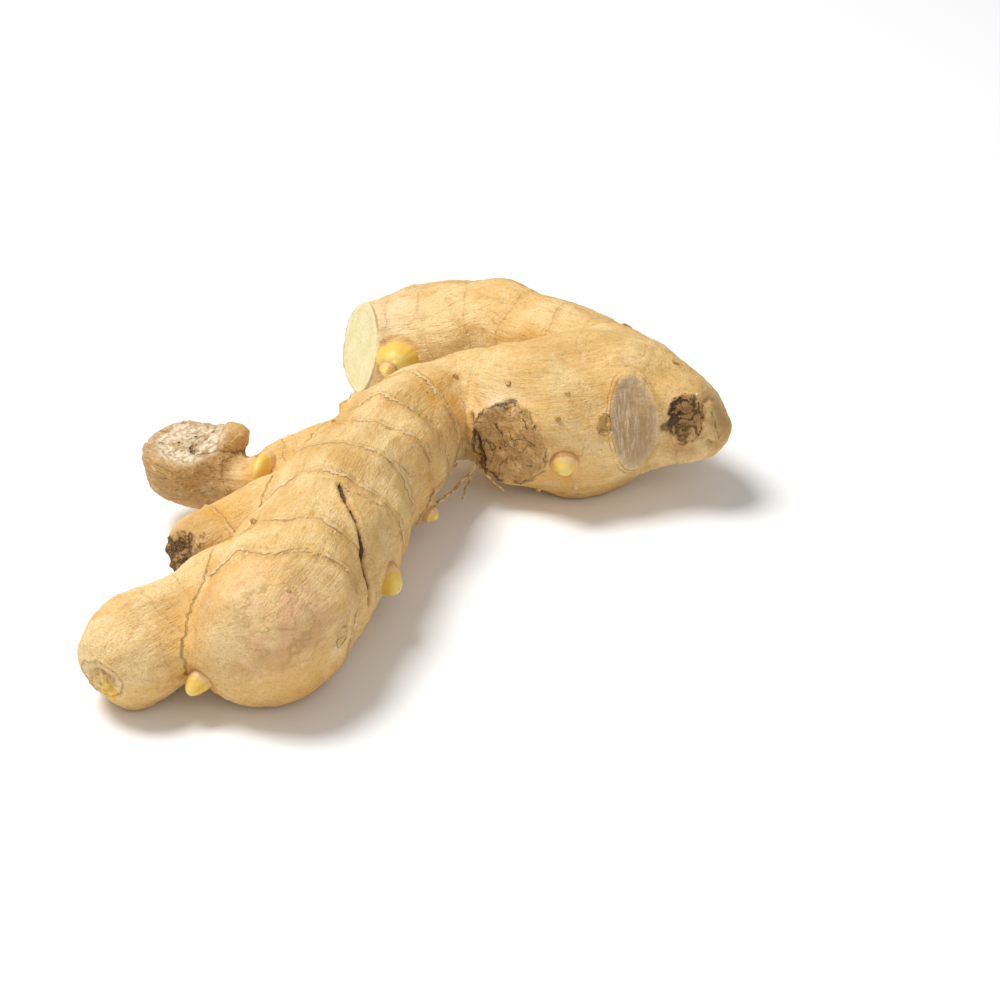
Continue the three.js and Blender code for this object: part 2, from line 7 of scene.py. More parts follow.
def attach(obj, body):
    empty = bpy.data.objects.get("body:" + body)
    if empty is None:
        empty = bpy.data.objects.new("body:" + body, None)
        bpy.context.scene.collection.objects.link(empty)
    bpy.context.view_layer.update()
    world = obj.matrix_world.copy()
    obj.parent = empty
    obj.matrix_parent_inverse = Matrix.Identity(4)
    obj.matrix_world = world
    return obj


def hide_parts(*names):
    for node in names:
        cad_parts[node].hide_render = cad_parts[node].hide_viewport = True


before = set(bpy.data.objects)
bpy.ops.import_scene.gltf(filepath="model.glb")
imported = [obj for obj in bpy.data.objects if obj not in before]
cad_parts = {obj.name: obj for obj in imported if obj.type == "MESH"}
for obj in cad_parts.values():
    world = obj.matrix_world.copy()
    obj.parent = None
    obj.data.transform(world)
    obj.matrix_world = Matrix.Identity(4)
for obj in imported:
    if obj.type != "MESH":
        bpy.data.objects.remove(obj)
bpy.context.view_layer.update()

MM = 0.001

# The rhizome: one fresh hand of ginger, grown as one piece and lying on a table.
# Each limb is a chain of round sections that swell and narrow as the stem grew, and each
# limb melts into the ones before it. All sizes are in mm until a mesh is made.

# name: fillet, then sections as x, y, z of the centre and radius, then leaf-sheath rings
# as place along the limb and how far each leans for every mm to the right and up
LIMBS = {
    "main limb": (0, [
        (-31, -63.5, 14.5, 15.1), (-26.5, -54, 15.5, 15.9), (-20.5, -32, 16, 15.6),
        (-14.5, -12, 16.5, 14.6), (-7, 9, 16.5, 13), (2.5, 24, 17, 11.8),
        (13, 25.5, 17, 12.9), (22.5, 21.5, 17, 16.1), (32.5, 22.5, 17, 17.7),
        (42, 23.5, 18, 16.3), (49.5, 21.5, 18.5, 13.3), (56, 18, 18.6, 9.9),
        (60.2, 16, 18.2, 6.4),
    ], [
        (6, 0.3, 0.1), (19, 0.05, -0.15), (35, 0.22, 0.1), (47, 0.22, 0.1), (60, 0.1, 0),
        (73, 0.2, -0.15), (86, -0.2, 0), (98, 0.1, 0.1), (111, 0, -0.2), (125, 0.1, 0.15),
        (138, 0.05, -0.1), (148, -0.1, 0.1),
    ]),
    "toe": (4, [
        (-37.5, -51, 14, 10), (-50, -60.3, 12, 10.2), (-57, -65.6, 10.5, 10.8),
    ], [(10, 0.1, 0.1), (17, -0.1, 0.1), (22.5, 0, 0)]),
    "stub": (4, [
        (-31.5, -20.5, 15, 9.2), (-40.5, -25, 12, 7.9), (-45.8, -28.2, 11, 7.4),
    ], [(9, 0.1, 0.2)]),
    "small lobe": (4, [
        (-16.5, 1, 17, 9.9), (-25.5, -1, 16, 7.5), (-31.5, -2, 15, 6.9),
    ], [(8, 0, 0.2), (13.5, 0, -0.1)]),
    "knob": (3, [
        (-34, -4.5, 15, 5.1), (-41.5, -3.5, 14.5, 6), (-46.6, 0.5, 13.2, 7), (-50.4, 3.5, 13, 7.5),
    ], [(7, 0, 0.1)]),
    "ear": (3, [(-45.5, 1.5, 18, 4.8), (-40.8, 0.8, 22, 2.9)], []),
    "nodule": (2.5, [(-5.5, -9.5, 15, 4.8), (-2.2, -11.5, 12.8, 4.3)], []),
    "back finger": (7, [
        (38.5, 37.5, 17.5, 11.3), (39, 47.5, 17.5, 9.6), (30, 53.5, 17, 9.7),
        (22.5, 59.5, 16.5, 10.7), (15.5, 65, 16.4, 12.3), (8.5, 66.5, 15.2, 12.2),
        (-0.5, 65.5, 13.5, 11.7), (-13, 66, 11.2, 11.3), (-23, 66, 11, 10.8),
    ], [(12, 0, 0.1), (22, 0.1, 0), (33, -0.1, 0.15), (44, 0.1, 0.1), (56, -0.1, 0), (64, 0, 0.1)]),
}
SPANS_PER_SECTION = 4
KNOB_FACE = np.array((-50.4, 2.2, 20.6))
KNOB_UP = np.array((-0.1, -0.08, 0.99))
KNOB_RADIUS, KNOB_DEPTH, KNOB_ROUNDING, KNOB_FILLET = 10.7, 10, 2.6, 3
CUT_POINT = np.array((-17, 65, 11))
CUT_OUT = np.array((-0.93, -0.3, 0.22))
CUT_EDGE = 0.5
CUT_FROM_Y = 40
# waves per mm along x, y and z, phase and height
LUMPS = (
    (0.21, 0.09, 0.12, 4.95, 0.42), (-0.08, 0.23, 0.1, 1.08, 0.42), (0.12, -0.15, 0.3, 5.79, 0.36),
    (0.33, 0.27, -0.14, 0.72, 0.25), (-0.3, 0.25, 0.26, 1.79, 0.22), (0.11, 0.43, 0.28, 2.77, 0.18),
)


def unit(vectors):
    vectors = np.asarray(vectors, float)
    return vectors / np.maximum(np.linalg.norm(vectors, axis=-1, keepdims=True), 1e-9)


KNOB_UP, CUT_OUT = unit(KNOB_UP), unit(CUT_OUT)


def smooth_path(sections, spans=SPANS_PER_SECTION):
    """A smooth chain of points through the sections, with its radius."""
    knots = np.array(sections, float)
    knots = np.vstack([2 * knots[0] - knots[1], knots, 2 * knots[-1] - knots[-2]])
    path = []
    for i in range(1, len(knots) - 2):
        before, start, end, after = knots[i - 1:i + 3]
        bend = 2 * before - 5 * start + 4 * end - after
        twist = after - before + 3 * (start - end)
        for t in np.arange(spans) / spans:
            path.append(start + 0.5 * t * (end - before + t * (bend + t * twist)))
    path.append(knots[-2])
    return np.array(path)


PATHS = {name: smooth_path(sections) for name, (_, sections, _) in LIMBS.items()}


def join(first, second, width):
    overlap = np.maximum(width - np.abs(first - second), 0) / width
    return np.minimum(first, second) - overlap * overlap * width / 4


def limb_distance(points, path):
    """Distance to one limb, place along it, offset from its middle line, and its direction."""
    nearest = np.full(len(points), 1e9)
    along = np.zeros(len(points))
    offset = np.zeros((len(points), 3))
    direction = np.zeros((len(points), 3))
    travelled = 0.0
    for start, end in zip(path[:-1], path[1:]):
        step = end[:3] - start[:3]
        length = np.linalg.norm(step)
        share = np.clip((points - start[:3]) @ step / length ** 2, 0, 1)
        away = points - (start[:3] + share[:, None] * step)
        distance = np.linalg.norm(away, axis=1) - (start[3] + share * (end[3] - start[3]))
        closer = distance < nearest
        nearest[closer] = distance[closer]
        along[closer] = travelled + share[closer] * length
        offset[closer] = away[closer]
        direction[closer] = step / length
        travelled += length
    return nearest, along, offset, direction


def knob_distance(points):
    offset = points - KNOB_FACE
    height = offset @ KNOB_UP
    outward = np.sqrt(np.maximum((offset ** 2).sum(1) - height ** 2, 0))
    aside = outward - (KNOB_RADIUS - KNOB_ROUNDING)
    above = np.abs(height + KNOB_DEPTH / 2) - (KNOB_DEPTH / 2 - KNOB_ROUNDING)
    outside = np.hypot(np.maximum(aside, 0), np.maximum(above, 0))
    return np.minimum(np.maximum(aside, above), 0) + outside - KNOB_ROUNDING


def cut_height(points):
    """How far each point lies beyond the knife cut, which crosses the back finger only."""
    return np.minimum((points - CUT_POINT) @ CUT_OUT, points[:, 1] - CUT_FROM_Y)


def body_distance(points):
    """Distance from the whole body's skin, below zero inside, with the knife cut."""
    total = None
    for name, (fillet, _, _) in LIMBS.items():
        distance = limb_distance(points, PATHS[name])[0]
        total = distance if total is None else join(total, distance, fillet)
    total = join(total, knob_distance(points), KNOB_FILLET)
    for x, y, z, phase, height in LUMPS:
        total = total - height * np.sin(points @ np.array((x, y, z)) + phase)
    return -join(-total, -cut_height(points), CUT_EDGE)


def slope(points, reach=0.15):
    """Unit direction out of the skin at each point."""
    out = np.empty_like(points)
    for axis in range(3):
        shift = np.zeros(3)
        shift[axis] = reach
        out[:, axis] = body_distance(points + shift) - body_distance(points - shift)
    return unit(out)


def settle(places):
    """The points of the skin nearest to the given ones."""
    places = np.array(places, float)
    for _ in range(6):
        places = places - slope(places) * body_distance(places)[:, None]
    return places


# Marks of growth on the skin: healed scars where a shoot or a root has gone, cracks in the
# dry skin, buds that have just broken through, and patches of another colour.

# name: place, direction it faces, half width across and up, rim, bowl, ripples
SCARS = {
    "cork": ((17.5, 6.5, 17), (-0.3, -0.93, 0.05), 8.6, 9.4, 0.8, 0.6, 0.15),
    "grey": ((45, 7, 22), (0.2, -0.95, 0.23), 5.4, 10.4, 0.55, 0.4, 0.05),
    "pit": ((56, 9, 23), (0.15, -0.85, 0.5), 3.8, 4.9, 0.8, 1.3, 0.2),
    "toe end": ((-61.3, -74.1, 10), (-0.5, -0.85, -0.1), 5.4, 5.0, 0.3, 0.3, 0.2),
    "stub end": ((-50, -32.5, 12.5), (-0.75, -0.65, 0.15), 4.6, 5, 0.7, 1.6, 0.3),
    "front spot": ((-15.5, -67.5, 16), (0.8, -0.56, 0.2), 2.1, 2.1, 0.45, 0.3, 0.1),
    "tip crease": ((61, 13, 20), (0.7, -0.7, 0.2), 4.4, 5.6, -0.8, 0, 0),
    "fold": ((38.3, 6.2, 22.7), (0.06, -0.92, 0.39), 1.6, 2.4, 0.5, 0.6, 0),
    "right lobe back": ((45, 39, 22), (0.25, 0.9, 0.35), 6.4, 5.4, 0.7, 0.9, 0.12),
    "left side": ((-19, 16, 20), (-0.85, 0.4, 0.3), 5, 5.6, 0.7, 0.8, 0.12),
    "behind toe": ((-46, -43, 12), (-0.6, 0.8, 0.1), 2.6, 2.6, 0.6, 0.5, 0.1),
    "behind finger": ((12, 78, 18), (-0.1, 0.95, 0.25), 5, 4.4, 0.7, 0.8, 0.12),
    "knob face": ((-50.4, 2.2, 20.6), (-0.1, -0.08, 0.99), 8.8, 8.8, 0.5, 0.9, 0.12),
}
PLAIN_SCARS = ("right lobe back", "left side", "behind toe", "behind finger")
SCAR_DEPTH, SCAR_FAR, SCAR_RIM = 7, 3.0, 0.13

CRACKS = (
    ((-17, -34.5, 30.5), (-16.2, -37.5, 30), (-15.2, -40.5, 29.4), (-14.2, -44, 28.2), (-13, -47, 26.6),
     (-11.9, -49.5, 25), (-11, -51.5, 22.5), (-10.4, -53, 19.5), (-10, -54.5, 15.5)),
    ((9, 12.5, 21.5), (10.2, 10.5, 18), (10.8, 10.2, 14.5), (12, 10.4, 11)),
)
THIN_CRACKS = (
    ((-4.3, -17.5, 26.5), (-2.8, -17, 24.5), (-1.8, -16.5, 22.5)),
    ((-17, -34.5, 30.5), (-15, -36, 30), (-12, -35, 28), (-9.5, -33.8, 26), (-7.5, -32, 24),
     (-6.2, -32.5, 21.5)),
    ((0.5, 12.1, 27.7), (-1.2, 13, 28)),
    ((28.2, 50.3, 27.1), (30.2, 50.6, 27.2)),
    ((62.5, 9.5, 24), (63.2, 9.2, 20.5), (63.6, 10.4, 17), (63, 11.5, 14)),
)
CRACK_DEPTH, CRACK_HALF_WIDTH = 0.75, 0.36
THIN_CRACK_DEPTH, THIN_CRACK_HALF_WIDTH = 0.3, 0.4
LIP_HEIGHT, LIP_OUT = 0.35, 1.2

# place, direction it points, half width across and up, height, then how much of it the
# brown scales cover at the bottom and at the top side
BUDS = {
    "right_lobe": ((29.6, 4.5, 14.7), (0.05, -0.95, -0.15), 3.2, 3.1, 3.8, -0.15, 0.45),
    "limb_side": ((-6.8, -42, 12.8), (0.6, -0.8, -0.1), 2.8, 3.7, 3.6, -0.2, 0.05),
    "front": ((-42.5, -72, 9), (-0.5, -0.8, -0.3), 2.7, 2.5, 4.0, -0.2, 0.0),
    "small_lobe": ((-34.7, -7.2, 19), (-0.35, -0.75, 0.55), 2.2, 4.0, 2.8, -0.25, -0.2),
    "back_finger": ((-8, 55, 13.5), (-0.1, -0.92, 0.3), 5.2, 4.0, 3.8, -0.4, -0.3),
    "nodule": ((1.5, -13.5, 11.5), (0.8, -0.55, -0.2), 2.0, 1.9, 1.8, 0.1, 0.3),
    "behind_lobe": ((50, 36, 17), (0.6, 0.75, 0.1), 2.7, 2.7, 2.8, 0.3, 0.5),
    "behind_finger": ((28, 69, 15), (0.55, 0.83, 0), 2.2, 2.4, 2.2, 0.3, 0.45),
    "behind_limb": ((-14, 20, 10), (-0.75, 0.6, -0.2), 2.4, 2.6, 2.4, 0.3, 0.45),
}

# a small shoot on the big bud of the back finger: offset from that bud's foot, direction, shape
SHOOT = ((-1.9, -2.9, -1.0), (-0.25, -0.9, 0.1), 2.1, 2.0, 2.6, 0.15, 0.3)

# patches, each a place and a radius: dented, paler, freshly broken, dry, crumpled, pinkish and
# golden skin, where the golden patches low on the flanks are painted warm shade
DENTS = (((11.9, 8.3, 17.8), 2.0), ((51.5, 8.5, 20.5), 1.6))
DENT_DEPTH = 0.9
PALE_PATCHES = (((-12, 62, 22), 8), ((-12, 56, 16), 6), ((14, 9, 27), 5))
FRESH_PATCHES = (((-60.8, -74.5, 7.8), 3.0), ((-37.5, -50, 24), 2.2))
DRY_PATCHES = (((63, 12, 21), 6.5), ((56, 8, 17), 5), ((2, -14, 12), 4), ((12, 8, 12), 6))
CRUMPLED_PATCHES = (
    ((62, 12, 19), 6), ((-1, -13, 14), 5), ((54, 9, 22), 6), ((17, 6, 17), 9), ((-46, -10, 16), 5),
)
ROSY_PATCHES = (((-26, -74, 24), 11), ((-6, -16, 17), 5), ((-38, -66, 20), 6))
# golden patches: those low on the flanks are painted warm shade, the higher ones and the one at the toe's end
# are the skin's own gold
GOLD_AND_SHADE_PATCHES = (
    ((25.9, 48.5, 25.5), 2.6), ((4.9, 13.9, 25.8), 4.5), ((-60.8, -74.5, 7.8), 3.4), ((0, 12.1, 26), 5),
    ((-41.9, -60.5, 25.1), 4), ((-42, -30, 7), 4), ((-8, 53, 8), 6), ((20, 47, 22), 6), ((-18, 60, 6), 4),
    ((-42, -24, 17), 5), ((30, 4, 9), 7), ((-20, -70, 6), 8), ((-24, -5, 20), 5),
)

scar_names = list(SCARS)
scar_centres = settle([SCARS[name][0] for name in scar_names])
scar_outs = unit([SCARS[name][1] for name in scar_names])
scar_sides = unit(np.cross((0, 0, 1), scar_outs))
scar_rises = np.cross(scar_outs, scar_sides)
bud_feet = dict(zip(BUDS, settle([bud[0] for bud in BUDS.values()])))

# Fine relief and the skin's mesh: leaf-sheath rings, where the sheath's torn edge stands up
# and then falls off sharply, lengthwise wrinkles of the drying skin, and the marks above.
# A fine grid of boxes gives one corner to each box that the skin crosses.
RING_HEIGHT, RING_FALL, RING_SLOPE = 0.42, 0.16, 2.0
WAIST_DEPTH, WAIST_HALF_WIDTH = 0.6, 3.4
RING_WAVE, RING_RAGGED = 0.7, 0.45
RING_REACH, RING_SPANS = 3.0, 20
# how clear the rings are on some limbs, and on every limb past a place along it
FAINT_RINGS = {"toe": 0.35, "back finger": 0.35, "small lobe": 0.6}
FAINT_FROM, FAINT_THERE = 92, 0.35
WRINKLE_HEIGHT, WRINKLE_WIDTH, WRINKLE_STRETCH = 0.1, 1.7, 5
PIMPLE_HEIGHT, PIMPLE_WIDTH = 0.06, 1.0
CRUMPLE_HEIGHT, CRUMPLE_WIDTH = 0.38, 2.2
SWELL_HEIGHT, SWELL_WIDTH = 0.2, 7
WEATHERED_HEIGHT, WEATHERED_WIDTH = 0.22, 1.1
# a groove and a raised collar round each bud: how far out, half width and height
BUD_COLLAR = ((0.3, 0.5, -0.15), (1.4, 0.8, 0.25))
# sheath flakes grow only higher than this, so that none dips into the table
FLAKES_FROM_Z = 1.5
LIMB_SOFTNESS = 1.0
SKIN_STEP, COARSE, SKIN_BAND = 0.66, 4, 4.4
NOISE_SIZE = 32
NOISE_TABLE = np.random.default_rng(5).uniform(-1.4, 1.4, (NOISE_SIZE,) * 3)
# noise is turned away from the body's own directions, so that its grid doesn't show
NOISE_TURN = np.array(Matrix.Rotation(0.9, 3, Vector((1, 2, 1.5))))
BOX_CORNERS = [np.array((x, y, z)) for x in (0, 1) for y in (0, 1) for z in (0, 1)]


def bump(distance, half_width):
    return np.exp(-(distance / half_width) ** 2)


def noise_at(points, octaves=3):
    """Smooth random values between about -1 and 1, with finer and weaker layers."""
    total = np.zeros(len(points))
    for octave in range(octaves):
        place = points @ NOISE_TURN * 2.0 ** octave + 11.3 * octave
        cell = np.floor(place).astype(int)
        share = place - cell
        share = share * share * (3 - 2 * share)
        for corner in BOX_CORNERS:
            weight = np.prod(np.where(corner, share, 1 - share), axis=1)
            total += weight * NOISE_TABLE[tuple(((cell + corner) % NOISE_SIZE).T)] / 2 ** octave
    return total


def line_gaps(points, lines):
    """Distance from each point to the nearest of some lines on the skin."""
    gap = np.full(len(points), 9.0)
    for line in lines:
        line = settle(line)
        for start, end in zip(line[:-1], line[1:]):
            step = end - start
            share = np.clip((points - start) @ step / (step @ step), 0, 1)
            gap = np.minimum(gap, np.linalg.norm(points - start - share[:, None] * step, axis=1))
    return gap


def near_patches(points, patches):
    near = np.zeros(len(points))
    for place, radius in patches:
        near = np.maximum(near, bump(np.linalg.norm(points - np.array(place), axis=1), radius))
    return near


def ring_clearness(along):
    """How clear the rings are at a place along a limb."""
    return np.where(along > FAINT_FROM, FAINT_THERE, 1)


def grid_values(low, counts):
    """Distances on the fine grid, worked out only close to the skin."""
    coarse = [count // COARSE + 2 for count in counts]
    cells = np.stack(np.meshgrid(*map(np.arange, coarse), indexing="ij"), -1).reshape(-1, 3)
    rough = body_distance(low + SKIN_STEP * COARSE * cells).reshape(coarse)
    for axis in range(3):
        rough = rough.repeat(COARSE, axis=axis)
    values = np.ascontiguousarray(rough[:counts[0], :counts[1], :counts[2]])
    close = np.argwhere(np.abs(values) < SKIN_BAND)
    values[tuple(close.T)] = body_distance(low + SKIN_STEP * close)
    return values


def net_of(values, low):
    """Corners and four-sided faces of the skin, one corner in each crossed box."""
    inside = values < 0
    boxes = tuple(count - 1 for count in values.shape)
    count = sum(inside[tuple(slice(c, c + n) for c, n in zip(corner, boxes))].astype(int)
                for corner in BOX_CORNERS)
    crossed = (count > 0) & (count < 8)
    cells = np.argwhere(crossed)
    number = -np.ones(boxes, int)
    number[crossed] = np.arange(len(cells))
    total = np.zeros((len(cells), 3))
    crossings = np.zeros(len(cells))
    steps = np.eye(3, dtype=int)
    for corner in BOX_CORNERS:
        for axis in np.flatnonzero(corner == 0):
            start = values[tuple((cells + corner).T)]
            end = values[tuple((cells + corner + steps[axis]).T)]
            cut = (start < 0) != (end < 0)
            share = start[cut] / (start[cut] - end[cut])
            total[cut] += corner + share[:, None] * steps[axis]
            crossings[cut] += 1
    points = low + SKIN_STEP * (cells + total / crossings[:, None])
    faces = []
    for axis in range(3):
        second, third = steps[(axis + 1) % 3], steps[(axis + 2) % 3]
        edge = np.argwhere(inside != np.roll(inside, -1, axis))
        around = (edge - second - third, edge - third, edge, edge - second)
        face = np.stack([number[tuple(cell.T)] for cell in around], -1)
        outward = ~inside[tuple(edge.T)]
        face[outward] = face[outward][:, ::-1]
        faces.append(face)
    return points, np.vstack(faces)


every_section = np.vstack(list(PATHS.values()))
low_corner = (every_section[:, :3] - every_section[:, 3:]).min(0) - 4
high_corner = (every_section[:, :3] + every_section[:, 3:]).max(0) + 4
grid_counts = [math.ceil(size / SKIN_STEP) for size in high_corner - low_corner]
points, skin_faces = net_of(grid_values(low_corner, grid_counts), low_corner)
outs = slope(points)
points -= outs * body_distance(points)[:, None]
rows = np.arange(len(points))
ragged = noise_at(points / 1.9)
ring_shift = RING_RAGGED * noise_at(points / 3.2, 2)

# finer paths than the body's own, so that the rings run on evenly round the bends
limb_parts = [limb_distance(points, smooth_path(sections, RING_SPANS)) for _, sections, _ in LIMBS.values()]
distances = np.array([part[0] for part in limb_parts])
shares = np.exp((distances.min(0) - distances) / LIMB_SOFTNESS)
shares /= shares.sum(0)
relief = SWELL_HEIGHT * noise_at(points / SWELL_WIDTH, 2)
ring_offs = []
faint = np.array([FAINT_RINGS.get(name, 1) for name in LIMBS])
for (_, _, rings), (_, along, offset, _), share, clear in zip(LIMBS.values(), limb_parts, shares, faint):
    right, up = offset[:, 0], offset[:, 2]
    clear = clear * ring_clearness(along)
    nearest_off = np.full(len(points), RING_REACH)
    for place, lean_right, lean_up in rings:
        off = along - place - lean_right * right - lean_up * up
        off = off - RING_WAVE * np.sin(0.45 * right + 0.37 * up + place) - ring_shift
        edge = 1 / (1 + np.exp(-off / RING_FALL)) * np.exp(-np.maximum(off, 0) / RING_SLOPE)
        relief += share * clear * RING_HEIGHT * (0.9 + 0.6 * ragged) * edge
        relief -= share * clear * WAIST_DEPTH * bump(off, WAIST_HALF_WIDTH)
        nearest_off = np.where(np.abs(off) < np.abs(nearest_off), off, nearest_off)
    ring_offs.append(nearest_off)

nearest = distances.argmin(0)
ring_off = np.array(ring_offs)[nearest, rows]
along, offset, direction = [np.array([part[i] for part in limb_parts])[nearest, rows] for i in (1, 2, 3)]
level = unit(np.cross((0, 0, 1), direction))
upright = np.cross(direction, level)
grain = np.stack([
    (offset * level).sum(1), (offset * upright).sum(1),
    (along + (offset * direction).sum(1)) / WRINKLE_STRETCH + 40 * nearest,
], 1)
relief += WRINKLE_HEIGHT * noise_at(grain / WRINKLE_WIDTH, 3)
relief += PIMPLE_HEIGHT * noise_at(points / PIMPLE_WIDTH, 2)
crumpled = near_patches(points, CRUMPLED_PATCHES)
relief -= CRUMPLE_HEIGHT * crumpled * np.abs(noise_at(points / CRUMPLE_WIDTH, 3))

dent = near_patches(points, DENTS)
relief -= DENT_DEPTH * dent

# a turn of a ring's clock face, so that the place near a ring runs on smoothly between rings
turn = math.pi * np.clip(ring_off / RING_REACH, -1, 1)
sure = np.clip((shares.max(0) - 0.6) / 0.3, 0, 1) * faint[nearest] * ring_clearness(along)
ring_turn = np.stack([np.sin(turn), np.cos(turn), sure], 1)
fold = np.clip(1 - (np.sort(distances, axis=0)[1] - distances.min(0)) / 5, 0, 1)

reaches = {}
scar_place = np.zeros((len(points), 3))
best = np.full(len(points), 1.8)
for name, centre, out, side, rise in zip(scar_names, scar_centres, scar_outs, scar_sides, scar_rises):
    _, _, across, tall, rim, bowl, ripples = SCARS[name]
    away = points - centre
    reach = np.hypot(away @ side / across, away @ rise / tall)
    reach = np.where(np.abs(away @ out) < SCAR_DEPTH, np.minimum(reach, SCAR_FAR), SCAR_FAR)
    reaches[name] = reach
    closer = reach < best
    best[closer] = reach[closer]
    scar_place[closer] = np.stack([away @ side, away @ rise, away @ out], 1)[closer]
    reach = reach + 0.05 * ragged
    inside = np.clip((1 - reach) / 0.5, 0, 1)
    relief += rim * (1 + 0.7 * ragged) * bump(reach - 1, SCAR_RIM)
    relief -= bowl * inside
    relief += ripples * inside * (np.cos(8 * np.pi * reach) + 2 * ragged)

crack_gap = line_gaps(points, CRACKS)
thin_gap = line_gaps(points, THIN_CRACKS)
relief -= CRACK_DEPTH * bump(crack_gap, CRACK_HALF_WIDTH)
relief += LIP_HEIGHT * bump(crack_gap - LIP_OUT, 0.8)
relief += 0.5 * LIP_HEIGHT * bump(thin_gap - 0.5 * LIP_OUT, 0.5)
relief -= THIN_CRACK_DEPTH * bump(thin_gap, THIN_CRACK_HALF_WIDTH)
beyond_cut = cut_height(points)
flesh_depth = -limb_distance(points, PATHS["back finger"])[0]
bud_gap = np.full(len(points), 20.0)
for name, (_, _, across, tall, *_) in BUDS.items():
    bud_gap = np.minimum(bud_gap, np.linalg.norm(points - bud_feet[name], axis=1) - 0.5 * (across + tall))
for place, half_width, height in BUD_COLLAR:
    relief += height * bump(bud_gap - place, half_width)
weathered = np.clip(1.3 - knob_distance(points) / 4, 0, 1) * (points[:, 0] < -38)
weathered = np.maximum(weathered, 0.6 * np.clip(1.8 - reaches["stub end"], 0, 1))
relief += WEATHERED_HEIGHT * weathered * noise_at(grain / WEATHERED_WIDTH, 3)
relief *= 1 - np.clip((beyond_cut + 0.9) / 0.6, 0, 1)
points += outs * relief[:, None]
points[:, 2] = np.maximum(points[:, 2], 0)


def new_object(name, data):
    made = bpy.data.objects.new(name, data)
    bpy.context.scene.collection.objects.link(made)
    return made


def mesh_object(name, places, faces):
    """A smooth-shaded mesh object from points in mm and faces."""
    mesh = bpy.data.meshes.new(name)
    mesh.from_pydata((np.asarray(places) * MM).tolist(), [], [tuple(map(int, face)) for face in faces])
    mesh.update()
    mesh.shade_smooth()
    return new_object(name, mesh)


def keep_on_points(piece, **layers):
    """Keeps numbers or vectors with the mesh's points, for its material to read."""
    for name, values in layers.items():
        values = np.asarray(values, np.float32)
        kind, field = ("FLOAT_VECTOR", "vector") if values.ndim == 2 else ("FLOAT", "value")
        piece.data.attributes.new(name, kind, "POINT").data.foreach_set(field, values.ravel())


skin = mesh_object("ginger_skin", points, skin_faces)
keep_on_points(
    skin, grain=grain, ring_turn=ring_turn, fold=fold, crack_gap=crack_gap, thin_gap=thin_gap,
    beyond_cut=beyond_cut, flesh_depth=flesh_depth, bud_gap=bud_gap, weathered=weathered,
    scar_place=scar_place, cork=reaches["cork"], grey=reaches["grey"], pit=reaches["pit"],
    toe_end=reaches["toe end"], stub_end=reaches["stub end"], knob_face=reaches["knob face"],
    small_scar=np.minimum(reaches["front spot"], reaches["fold"]),
    plain_scar=np.min([reaches[name] for name in PLAIN_SCARS], axis=0),
    rosy=near_patches(points, ROSY_PATCHES), gold=near_patches(points, GOLD_AND_SHADE_PATCHES),
    fresh=near_patches(points, [(settle([place])[0], radius) for place, radius in FRESH_PATCHES]),
    dent=dent, pale=near_patches(points, PALE_PATCHES), dry=near_patches(points, DRY_PATCHES),
    flaking=bump(ring_off - 0.2, 0.5) * (ragged > 0.1) * (beyond_cut < -1) * (points[:, 2] > FLAKES_FROM_Z),
)

# Finish of the skin: thin dry cork, tan and dull, with brown sheath edges, lengthwise
# fibres, corky scars, and one face of wet pale flesh where the knife went through.
SKIN_LIGHT, SKIN_MIDDLE, SKIN_DARK = "#F2D194", "#E6BC76", "#C8964A"
SHEATH_BROWN, DUST_PALE, GOLD, ROSE = "#96652B", "#F5DFB6", "#DFA23A", "#E3B086"
CORK_TAN, CORK_PALE, CORK_DARK = "#D3A768", "#E8C68C", "#4A2D12"
SCAR_GREY, SCAR_WHITE = "#B39470", "#EBDDC2"
PIT_BROWN, PIT_BLACK = "#9A6E3C", "#2A1A0E"
WEATHERED, FRESH_YELLOW = "#B0854F", "#F0C552"
HEALED_PALE, HEALED_BROWN = "#EAD6B2", "#A07A46"
FLESH_PALE, FLESH_GREEN, FLESH_YELLOW = "#F1DFA6", "#E5D690", "#E0BF68"
SKIN_IOR = 1.45


def linear(hex_colour):
    """sRGB hex to a linear colour with alpha."""
    parts = [int(hex_colour[i:i + 2], 16) / 255 for i in (1, 3, 5)]
    return (*[part / 12.92 if part <= 0.04045 else ((part + 0.055) / 1.055) ** 2.4 for part in parts], 1)


def node(tree, kind, inputs=None, out=0, **settings):
    """Adds a node with its settings, feeds its inputs, and gives back one output."""
    made = tree.nodes.new(kind)
    for name, value in settings.items():
        setattr(made, name, value)
    for name, value in (inputs or {}).items():
        if isinstance(value, bpy.types.NodeSocket):
            tree.links.new(value, made.inputs[name])
        else:
            made.inputs[name].default_value = value
    return made.outputs[out] if made.outputs else made


